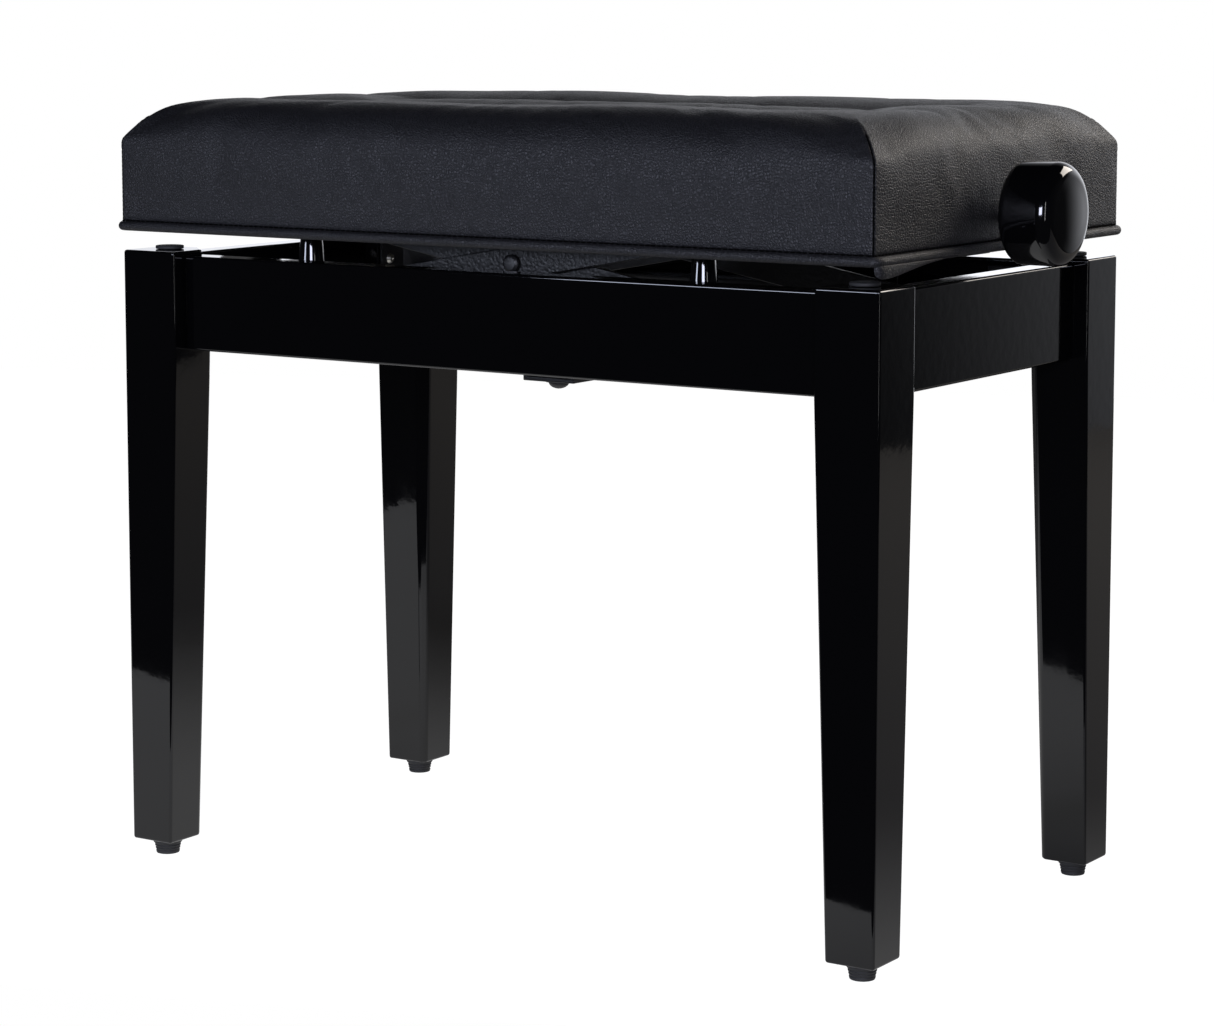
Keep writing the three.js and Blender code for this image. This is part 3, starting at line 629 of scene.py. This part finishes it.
# Poplar plywood under a thin black stain. Nearly black, with a faint brown grain in streaks
# about 5 mm wide and 60 mm long.
plywood, shader, place = new_finish("black_stained_poplar_plywood", "#141110",
                                          Roughness=0.55, IOR=1.5)
stretched = add_node(shader.id_data, "ShaderNodeMapping", {"Vector": place, "Scale": (6, 60, 60)})
grain = clouds(stretched.outputs["Vector"], 3, 6, Distortion=0.6)
tint(shader, grain, "#0d0b0a", "#211c19")
emboss(shader, grain, 0.2, 0.2 * MM)

for side in ("front", "rear", "left", "right"):
    eased_copy(f"skirt_{side}", plywood, 0.6 * MM, "seat", "plywood")
board = new_piece("seat_board", block_points(*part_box("seat_board")), BLOCK_FACES, plywood)
fix(ease(board, 0.8 * MM, 2), "seat", "plywood", "seat_board")

# -------------------- foam and cover
# A slab of firm foam under a skin of black leatherette with thin wadding. The skin is sewn
# from a top and four sides that meet in mitred corner seams, and pulled down along two long
# rows of pleats into three rolls. It is wrapped round the skirts and stapled inside.

# Black PU leatherette, embossed with a fine pebble grain about 1.8 mm across. Satin, slightly
# warmer and greyer where light skims it. Its mottled black has painted shade in the valleys
# between the pebbles and is painted lighter on their tops.
leatherette, shader, place = new_finish("embossed_black_leatherette", "#1a1a1d",
                                              Roughness=0.5, IOR=1.45)
tree = shader.id_data
wander = add_node(tree, "ShaderNodeTexNoise", {"Vector": place, "Scale": 260, "Detail": 2})
bent = add_node(tree, "ShaderNodeVectorMath", {0: wander.outputs["Color"],
                                               1: (1.6 * MM, 1.6 * MM, 1.6 * MM)},
                operation="MULTIPLY")
bent_place = add_node(tree, "ShaderNodeVectorMath", {0: place, 1: bent.outputs["Vector"]},
                      operation="ADD")
pebbles = add_node(tree, "ShaderNodeTexVoronoi", {"Vector": bent_place.outputs["Vector"],
                                                  "Scale": 560}, feature="DISTANCE_TO_EDGE")
pebble_node = add_node(tree, "ShaderNodeMapRange",
                       {"Value": pebbles.outputs["Distance"], "From Max": 0.28},
                       interpolation_type="SMOOTHSTEP")
pebble_height = pebble_node.outputs["Result"]
skin_height = add_node(tree, "ShaderNodeMath", {0: clouds(place, 2400, 2), 1: 0.35,
                                                2: pebble_height}, operation="MULTIPLY_ADD")
emboss(shader, skin_height.outputs["Value"], 0.8, 0.3 * MM)
vary_gloss(shader, pebble_height, 0.54, 0.46)
mottle = tint(shader, clouds(place, 30, 6, Roughness=0.7), "#161619", "#1f1f22")
# Painted shade: the colour is halved in the grain's valleys and lifted on the pebble tops.
painted_valley_shade = add_node(tree, "ShaderNodeMapRange", {"Value": pebble_height, "To Min": 0.5,
                                               "To Max": 1.2})
mottle_with_painted_shade = add_node(tree, "ShaderNodeVectorMath", {0: mottle, "Scale": painted_valley_shade.outputs["Result"]},
                 operation="SCALE")
tree.links.new(mottle_with_painted_shade.outputs["Vector"], shader.inputs["Base Color"])

# Cream open-cell upholstery foam, cut from a slab. Pale, matt and full of 1 mm cells, each darkened
# towards its middle by painted shade.
foam_finish, shader, place = new_finish("cut_upholstery_foam", "#d3cba8", Roughness=0.95)
cells_and_painted_cell_shade = add_node(shader.id_data, "ShaderNodeTexVoronoi", {"Vector": place, "Scale": 900})
# Painted shade: the colour darkens towards each cell's middle, where the bump sinks it.
tint(shader, cells_and_painted_cell_shade.outputs["Distance"], "#a89f7c", "#ddd6b8")
emboss(shader, cells_and_painted_cell_shade.outputs["Distance"], 0.8, 0.4 * MM)

cover_low, cover_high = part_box("seat_cover")
half_x, half_y = cover_high.x - 3.2 * MM, cover_high.y - 1.8 * MM  # inside the piping
hem_z, crown_z = cover_low.z, cover_high.z
edge_round = 28 * MM
levels, round_levels = 9, 8


def marks(half, count):
    """Even marks from -1 to 1, with two close to each end where the seam is drawn in."""
    even = np.linspace(-1, 1, count + 1)
    lips = [1 - 1.3 * MM / half, 1 - 3.2 * MM / half]
    return np.sort(np.concatenate([even, lips, [-lip for lip in lips]]))


marks_x, marks_y = marks(half_x, 92), marks(half_y, 54)
columns, rows = len(marks_x) - 1, len(marks_y) - 1
pleat_lines = (-50 * MM, 50 * MM)
pleat_ends = (-0.226, 0.222)
pleat_depth, pleat_width = 13 * MM, 27 * MM
crown_rise = 1.2 * MM
puff = 1.6 * MM  # room for what the simulation adds


def smooth_step(t):
    t = np.clip(t, 0, 1)
    return t * t * (3 - 2 * t)


def top_height(x, y):
    """Height of the cover's top: crowned, with soft pillows between the pleats."""
    crown = crown_rise * (1 - (x / half_x) ** 4) * (1 - (y / half_y) ** 4)
    run = smooth_step((x - pleat_ends[0]) / 0.05) * smooth_step((pleat_ends[1] - x) / 0.05)
    fall = sum(np.exp(-((abs(y - line) / pleat_width) ** 1.5)) for line in pleat_lines)
    bump = 0.6 * np.cos((x - 0.078) * math.tau / 0.172) + 0.8 * np.cos(x * math.tau / 0.37 + y * 19)
    puckers = 0.28 * MM * np.sin(x * math.tau / 0.021 + 2.2 * np.sin(x * 37)) * fall
    return (crown_z - crown_rise - puff + crown + (0.75 * MM * bump * (1 - fall) + puckers) * run
            - pleat_depth * run * fall)


# One skin: rings up the sides and round the edge, then a grid over the top.
profile = [(0.0, hem_z + (crown_z - edge_round - hem_z) * k / levels) for k in range(levels)]
profile += [(edge_round * (1 - math.cos(a)), crown_z - edge_round * (1 - math.sin(a)))
            for a in (math.pi / 2 * k / round_levels for k in range(round_levels))]
loop = [(i, 0) for i in range(columns)] + [(columns, j) for j in range(rows)]
loop += [(columns - i, rows) for i in range(columns)] + [(0, rows - j) for j in range(rows)]
seam_columns = (0, columns, columns + rows, 2 * columns + rows)
around = len(loop)
points = [(marks_x[i] * (half_x - inset), marks_y[j] * (half_y - inset), z)
          for inset, z in profile for i, j in loop]
grid = {}
for j in range(rows + 1):
    for i in range(columns + 1):
        grid[i, j] = len(points)
        points.append((marks_x[i] * (half_x - edge_round), marks_y[j] * (half_y - edge_round),
                       crown_z))
faces = ring_faces(around, len(profile))
rim, last = [grid[spot] for spot in loop], (len(profile) - 1) * around
faces += [[last + i, last + (i + 1) % around, rim[(i + 1) % around], rim[i]]
          for i in range(around)]
faces += [[grid[i, j], grid[i + 1, j], grid[i + 1, j + 1], grid[i, j + 1]]
          for j in range(rows) for i in range(columns)]
shape = np.array(points)
# The crown and pleats lower the edge rings as well, fading out down the sides.
lift = top_height(shape[:, 0], shape[:, 1]) - crown_z
fade = smooth_step((shape[:, 2] - (crown_z - edge_round)) / edge_round)
shape[:, 2] += lift * fade
# Near the corners the tight seams flatten the round edge to a slope.
slope_insets = (0, 4, 9, 17, 25, 45, 75)  # mm in from the sides
slope_drops = (26, 20.5, 14.5, 8, 4, 2, 0.6)  # mm below the crown
slope_reach = 62 * MM
inset_x, inset_y = half_x - abs(shape[:, 0]), half_y - abs(shape[:, 1])
inset, along = np.minimum(inset_x, inset_y), abs(inset_x - inset_y)
slope = crown_z - np.interp(inset / MM, slope_insets, slope_drops) * MM
near = smooth_step(1 - along / slope_reach) * (shape[:, 2] > crown_z - edge_round - 1 * MM)
shape[:, 2] += (np.minimum(slope, shape[:, 2]) - shape[:, 2]) * near
# The seam allowance draws each corner seam in to a narrow groove, which fades out on top.
seam_pull = 1.1 * MM
for k in range(len(profile)):
    depth = seam_pull * (1 if k < levels + 4 else max(0, (levels + 7 - k) / 4))
    for column in seam_columns:
        here = shape[k * around + column]
        here -= depth * np.array([np.sign(here[0]), np.sign(here[1]), 0.8 * (k >= levels)])
cover = new_piece("seat_cover", shape, faces, leatherette)

# The skin is blown up a little against its seams and pleats, as firm foam does.
held = cover.vertex_groups.new(name="held")
spots = np.array([v.co for v in cover.data.vertices])
low_part = 1 - smooth_step((spots[:, 2] - hem_z) / (30 * MM))
run = (smooth_step((spots[:, 0] - pleat_ends[0]) / 0.03)
       * smooth_step((pleat_ends[1] - spots[:, 0]) / 0.03))
on_pleat = sum(np.exp(-((spots[:, 1] - line) / (5 * MM)) ** 2) for line in pleat_lines)
on_top = spots[:, 2] > crown_z - 14 * MM
seam = np.minimum(half_x - abs(spots[:, 0]), 1) - np.minimum(half_y - abs(spots[:, 1]), 1)
near_corner = ((half_x - abs(spots[:, 0])) < 30 * MM) & ((half_y - abs(spots[:, 1])) < 30 * MM)
on_seam = np.where(near_corner, np.exp(-(seam / (4 * MM)) ** 2), 0)
hold = np.clip(np.maximum.reduce([low_part, on_pleat * run * on_top, 0.6 * on_seam]), 0, 1)
for index, weight in enumerate(hold):
    held.add([index], float(weight), "REPLACE")
cloth = cover.modifiers.new("blown", "CLOTH")
for setting, value in (("quality", 6), ("mass", 0.3), ("tension_stiffness", 25),
                       ("compression_stiffness", 25), ("shear_stiffness", 12),
                       ("bending_stiffness", 0.6), ("vertex_group_mass", "held"),
                       ("use_pressure", True), ("uniform_pressure_force", 4),
                       ("shrink_min", -0.01)):
    setattr(cloth.settings, setting, value)
cloth.settings.effector_weights.gravity = 0
frames = 20
cloth.point_cache.frame_start, cloth.point_cache.frame_end = 1, frames
for step in range(1, frames + 1):
    scene.frame_set(step)
bake(cover)
scene.frame_set(1)
blown = np.array([v.co for v in cover.data.vertices])
move = blown - spots
length = np.linalg.norm(move, axis=1, keepdims=True)
swell_limit = 2.4 * MM
move *= swell_limit * np.tanh(length / (2.5 * swell_limit)) / np.maximum(length, 1e-9)
cover.data.vertices.foreach_set("co", (spots + move).astype(np.float32).ravel())
cover.data.update()

# The foam is the same form, drawn in under the skin and cut flat on the board.
foam_low, foam_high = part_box("seat_foam")
skin_points = np.array([v.co for v in cover.data.vertices])
shrink = np.array([foam_high.x / cover_high.x, foam_high.y / cover_high.y, 1])
foam_points = skin_points * shrink * [0.999, 0.999, 1]
foam_points[:, 2] = np.where(
    skin_points[:, 2] < crown_z - 2 * edge_round,
    foam_low.z,
    np.maximum(skin_points[:, 2] - 3.2 * MM, foam_low.z + 0.2 * MM),
)
foam = new_piece("seat_foam", foam_points, faces + [list(range(around))], foam_finish)
fix(foam, "seat", "foam", "seat_foam")

# The four corner seams and their lips keep their edge when the skin is smoothed.
creases = {}
for k in range(len(profile) - 1):
    for column in seam_columns:
        for step, value in ((-1, 0.4), (0, 0.9), (1, 0.4)):
            i = (column + step) % around
            creases[frozenset((k * around + i, (k + 1) * around + i))] = value
crease = cover.data.attributes.new("crease_edge", "FLOAT", "EDGE")
for edge in cover.data.edges:
    crease.data[edge.index].value = creases.get(frozenset(edge.vertices), 0)
seams = [[cover.data.vertices[k * around + column].co.copy() for k in range(len(profile) - 2)]
         for column in seam_columns]
skin = cover.modifiers.new("skin", "SOLIDIFY")
skin.thickness, skin.offset = 1.4 * MM, -1
fine = cover.modifiers.new("fine", "SUBSURF")
fine.levels = fine.render_levels = 1
bake(cover)
cover.data.shade_smooth()
fix(cover, "seat", "leatherette", "seat_cover")

# -------------------- piping
# A welt of the same leatherette over a cord, sewn round the hem, with its ends butted at the
# back. Its seam allowance is stapled to the skirts.
low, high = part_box("piping")
cord = 3 * MM
corner_round = 5 * MM
run_x, run_y, cord_z = high.x - cord, high.y - cord, (low.z + high.z) / 2
path = [(-0.3 * MM, run_y)]
for sx, sy, first in ((-1, 1, 90), (-1, -1, 180), (1, -1, 270), (1, 1, 0)):
    path += arc(sx * (run_x - corner_round), sy * (run_y - corner_round), corner_round, first,
                90, 8)
path.append((0.3 * MM, run_y))
points, around_cord = [], 16
for i, (x, y) in enumerate(path):
    a, b = path[max(i - 1, 0)], path[min(i + 1, len(path) - 1)]
    out = Vector((b[1] - a[1], a[0] - b[0])).normalized() * -1
    for k in range(around_cord):
        angle = math.tau * k / around_cord
        points.append((x + out.x * cord * math.cos(angle), y + out.y * cord * math.cos(angle),
                       cord_z + cord * math.sin(angle)))
faces = ring_faces(around_cord, len(path))
faces += [list(range(around_cord)), list(range(len(points) - around_cord, len(points)))]
piping = new_piece("piping", points, faces, leatherette)
piping.data.set_sharp_from_angle(angle=math.radians(50))
fix(piping, "seat", "leatherette", "piping")

# -------------------- hem
# Below the piping the leatherette goes on round the skirts' lower edges and a little way up
# inside, where it is stapled. At the front right corner a spare fold of it hangs down.
skirt_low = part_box("skirt_front")[0]
out_x, out_y, wood = -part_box("skirt_left")[0].x, -skirt_low.y, 16 * MM
# The strip's section: mm out from the skirts, and up from their lower edge.
wrap_profile = [(0.4, 8), (0.4, -0.25), (-16.4, -0.25), (-16.4, 12), (-16.05, 12),
                (-16.05, -0.05), (0.1, -0.05), (0.1, 8)]
points = []
for sx, sy in ((-1, -1), (1, -1), (1, 1), (-1, 1)):
    points += [(sx * (out_x + out * MM), sy * (out_y + out * MM), skirt_low.z + up * MM)
               for out, up in wrap_profile]
hem = new_piece("hem", points, ring_faces(len(wrap_profile), 4, looped=True), leatherette,
                smooth=False)
fix(hem, "seat", "leatherette")

# The fold's lower edge in mm, from the front round the corner and back.
fold_top = 408.8
fold_path = [(272.4, -155.8, 403), (274.2, -155.5, 401.6), (275.6, -153.8, 400.9),
             (275.8, -149, 400.6), (275.8, -141, 401.1), (275.8, -131, 402.2), (275.7, -119, 403.9),
             (275.6, -104, 405.8), (275.6, -84, 407.6), (275.6, -64, 408.4)]
points, across_count = [], 5
for i, (x, y, low_z) in enumerate(fold_path):
    a, b = fold_path[max(i - 1, 0)], fold_path[min(i + 1, len(fold_path) - 1)]
    out = Vector((b[1] - a[1], a[0] - b[0], 0)).normalized()
    for k in range(across_count):
        share = k / (across_count - 1)
        belly = 1.5 * math.sin(math.pi * (0.25 + 0.75 * share)) + 0.2
        z = fold_top + (low_z - fold_top) * share
        points.append(((x + out.x * belly) * MM, (y + out.y * belly) * MM, z * MM))
spare = new_piece("hem_fold", points, ring_faces(across_count, len(fold_path), closed=False),
                  leatherette)
wall = spare.modifiers.new("wall", "SOLIDIFY")
wall.thickness, wall.offset = 0.7 * MM, -1
fine = spare.modifiers.new("fine", "SUBSURF")
fine.levels = fine.render_levels = 2
bake(spare)
spare.data.shade_smooth()
fix(spare, "seat", "leatherette")

# -------------------- stitches
# Black polyester thread, sewn down the four corner seams and over the piping. The stitches of
# the corners touch end to end, and all are drawn tight into the leatherette.


def instanced(name, rows, shape_of, sizes, material):
    """One mesh with a small shape for each row: its spot, and its directions along and up."""
    spots, along, up = zip(*rows)
    mesh = bpy.data.meshes.new(name)
    mesh.from_pydata([tuple(p) for p in spots], [], [])
    for label, values in (("along", along), ("up", up)):
        field = mesh.attributes.new(label, "FLOAT_VECTOR", "POINT")
        numbers = np.array([tuple(v) for v in values], dtype=np.float32)
        field.data.foreach_set("vector", numbers.ravel())
    mesh.materials.append(material)
    piece = into_scene(f"{name}_piece", mesh)
    tree = bpy.data.node_groups.new(name, "GeometryNodeTree")
    tree.interface.new_socket("Spots", in_out="INPUT", socket_type="NodeSocketGeometry")
    inputs = {}
    for label, value in sizes.items():
        socket = tree.interface.new_socket(label, in_out="INPUT", socket_type="NodeSocketFloat")
        inputs[socket.identifier] = value
    tree.interface.new_socket("Shapes", in_out="OUTPUT", socket_type="NodeSocketGeometry")
    given = add_node(tree, "NodeGroupInput")
    facing = [add_node(tree, "GeometryNodeInputNamedAttribute", {"Name": label},
                       data_type="FLOAT_VECTOR") for label in ("along", "up")]
    turn = add_node(tree, "FunctionNodeAxesToRotation",
                    {"Primary Axis": facing[0].outputs["Attribute"],
                     "Secondary Axis": facing[1].outputs["Attribute"]},
                    primary_axis="X", secondary_axis="Z")
    placed = add_node(tree, "GeometryNodeInstanceOnPoints",
                      {"Points": given.outputs["Spots"], "Instance": shape_of(tree, given),
                       "Rotation": turn.outputs["Rotation"]})
    real = add_node(tree, "GeometryNodeRealizeInstances", {0: placed.outputs["Instances"]})
    painted = add_node(tree, "GeometryNodeSetMaterial", {"Geometry": real.outputs[0]})
    painted.inputs["Material"].default_value = material
    add_node(tree, "NodeGroupOutput", {"Shapes": painted.outputs["Geometry"]})
    nodes = piece.modifiers.new("repeat", "NODES")
    nodes.node_group = tree
    for identifier, value in inputs.items():
        nodes[identifier] = value
    bake(piece)
    piece.data.materials.clear()
    piece.data.materials.append(material)
    piece.data.polygons.foreach_set("material_index", [0] * len(piece.data.polygons))
    return piece


def stitch_shape(tree, given):
    """A capsule along X, half sunk."""
    drop = add_node(tree, "GeometryNodeMeshUVSphere", {"Segments": 8, "Rings": 5, "Radius": 0.5})
    size = add_node(tree, "ShaderNodeCombineXYZ", {"X": given.outputs["Length"],
                                                   "Y": given.outputs["Thickness"],
                                                   "Z": given.outputs["Thickness"]})
    return add_node(tree, "GeometryNodeTransform", {
        "Geometry": drop.outputs["Mesh"], "Scale": size.outputs["Vector"]}).outputs["Geometry"]


# Spun black polyester thread. Matt, with a twist about 0.6 mm long.
thread_finish, shader, place = new_finish("spun_black_polyester_thread", "#040404",
                                                Roughness=0.9, IOR=1.12)
emboss(shader, clouds(place, 1600, 2), 0.4, 0.2 * MM)

rows = []
for seam in seams:
    for a, b in zip(seam, seam[1:]):
        outwards = Vector((math.copysign(1, b.x), math.copysign(1, b.y), 0)).normalized()
        count = max(1, round((b - a).length / (3.4 * MM)))
        rows += [(a.lerp(b, (i + 0.5) / count) + outwards * 0.35 * MM, (b - a).normalized(),
                  outwards) for i in range(count)]
stitches = instanced("corner_stitches", rows, stitch_shape,
                     {"Length": 5 * MM, "Thickness": 1.3 * MM}, thread_finish)
fix(stitches, "seat", "leatherette")

# The four sides of the seat: where each faces, and the way it runs.
seat_sides = ((0, -1, 1, 0), (1, 0, 0, 1), (0, 1, -1, 0), (-1, 0, 0, -1))
rows, stitch_step = [], 4 * MM
for wx, wy, dx, dy in seat_sides:
    reach = (half_x if dx else half_y) - 2 * MM
    for i in range(int(2 * reach / stitch_step) + 1):
        t = i * stitch_step - reach
        rows.append(((wx * (half_x + 0.1 * MM) + dx * t, wy * (half_y + 0.1 * MM) + dy * t,
                      hem_z + 0.1 * MM), (dx, dy, 0), (wx, wy, 0)))
welt = instanced("piping_stitches", rows, stitch_shape,
                 {"Length": 3.6 * MM, "Thickness": 0.9 * MM}, thread_finish)
fix(welt, "seat", "leatherette")

# -------------------- staples and screws
# Galvanised staples hold the hem to the inside of the skirts. Zinc plated pan head screws hold
# the guides, the corner brackets and the bearing plates.


def staple_shape(tree, given):
    """A wire crown along X with its two legs pressed in."""
    crown = add_node(tree, "GeometryNodeMeshCylinder", {
        "Vertices": 8, "Radius": given.outputs["Wire"], "Depth": given.outputs["Crown"]})
    laid = add_node(tree, "GeometryNodeTransform", {"Geometry": crown.outputs["Mesh"],
                                                    "Rotation": (0, math.pi / 2, 0)})
    parts = [laid.outputs["Geometry"]]
    for sign in (-0.5, 0.5):
        leg = add_node(tree, "GeometryNodeMeshCylinder", {
            "Vertices": 8, "Radius": given.outputs["Wire"], "Depth": 1.6 * MM})
        aside_x = add_node(tree, "ShaderNodeMath", {0: given.outputs["Crown"], 1: sign},
                           operation="MULTIPLY")
        spot = add_node(tree, "ShaderNodeCombineXYZ", {"X": aside_x.outputs["Value"],
                                                       "Z": -0.7 * MM})
        parts.append(add_node(tree, "GeometryNodeTransform", {
            "Geometry": leg.outputs["Mesh"],
            "Translation": spot.outputs["Vector"]}).outputs["Geometry"])
    joined = add_node(tree, "GeometryNodeJoinGeometry")
    for part in parts:
        tree.links.new(part, joined.inputs[0])
    return joined.outputs[0]


def screw_shape(tree, given):
    """A pan head, standing on Z = 0, with a cross recess."""
    head = add_node(tree, "GeometryNodeMeshCone", {
        "Vertices": 20, "Radius Bottom": given.outputs["Head Radius"],
        "Radius Top": 2.5 * MM, "Depth": given.outputs["Head Height"]})
    slots = []
    for size in ((4.4 * MM, 0.9 * MM, 2.2 * MM), (0.9 * MM, 4.4 * MM, 2.2 * MM)):
        bar = add_node(tree, "GeometryNodeMeshCube", {"Size": size})
        slots.append(add_node(tree, "GeometryNodeTransform", {
            "Geometry": bar.outputs["Mesh"],
            "Translation": (0, 0, 2.2 * MM)}).outputs["Geometry"])
    cross = add_node(tree, "GeometryNodeMeshBoolean", operation="UNION", solver="EXACT")
    for part in slots:
        tree.links.new(part, cross.inputs["Mesh 2"])
    cut = add_node(tree, "GeometryNodeMeshBoolean", {
        "Mesh 1": head.outputs["Mesh"], "Mesh 2": cross.outputs["Mesh"]},
        operation="DIFFERENCE", solver="EXACT")
    return cut.outputs["Mesh"]


rows, plate_reach = [], 26 * MM
inner_x, inner_y = out_x - wood - 0.6 * MM, out_y - wood - 0.6 * MM
for wx, wy, dx, dy in seat_sides:
    reach = (inner_x if dx else inner_y) - 14 * MM
    count = round(2 * reach / (23 * MM))
    for i in range(count + 1):
        t = -reach + 2 * reach * i / count
        if wx and abs(t) < plate_reach:
            continue  # the bearing plate is here
        rows.append(((wx * inner_x + dx * t, wy * inner_y + dy * t, skirt_low.z + 7 * MM),
                     (dx, dy, 0), (-wx, -wy, 0)))
staples = instanced("hem_staples", rows, staple_shape, {"Wire": 0.4 * MM, "Crown": 10 * MM}, zinc)
fix(staples, "seat", "zinc_steel")

seat_rows, frame_rows = [], []
for end, sign in (("left", -1), ("right", 1)):
    low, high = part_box(f"spindle_bearing_{end}")
    face_x = high.x if sign < 0 else low.x
    seat_rows += [((face_x, y, z), (0, 1, 0), (-sign, 0, 0)) for y in (-12 * MM, 12 * MM)
                  for z in (skirt_low.z + 6 * MM, high.z - 6 * MM)]
for side, sign in (("front", -1), ("rear", 1)):
    low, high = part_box(f"upper_guide_{side}")
    seat_rows += [((low.x + (high.x - low.x) * share, sign * 116 * MM, high.z - 3 * MM),
                   (1, 0, 0), (0, 0, -1)) for share in (0.05, 0.28, 0.5, 0.72, 0.95)]
    frame_rows += [((x * MM, sign * 122.7 * MM, 362 * MM), (1, 0, 0), (0, -sign, 0))
                   for x in (-180, -105, -9, 87, 170)]
for corner, (side_x, side_y) in corner_signs.items():
    low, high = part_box(f"corner_bracket_{corner}")
    near_y = low.y + 2 * MM if side_y < 0 else high.y - 2 * MM
    near_x = low.x + 2 * MM if side_x < 0 else high.x - 2 * MM
    tab_x = (high.x if side_x < 0 else low.x) + side_x * 9 * MM
    tab_y = (high.y if side_y < 0 else low.y) + side_y * 9 * MM
    for z in (low.z + 12 * MM, high.z - 12 * MM):
        frame_rows.append(((tab_x, near_y, z), (1, 0, 0), (0, -side_y, 0)))
        frame_rows.append(((near_x, tab_y, z), (0, 1, 0), (-side_x, 0, 0)))
for body, rows in (("seat", seat_rows), ("frame", frame_rows)):
    heads = instanced(f"{body}_screws", rows, screw_shape,
                      {"Head Radius": 3.6 * MM, "Head Height": 2.1 * MM}, zinc)
    fix(heads, body, "zinc_steel")
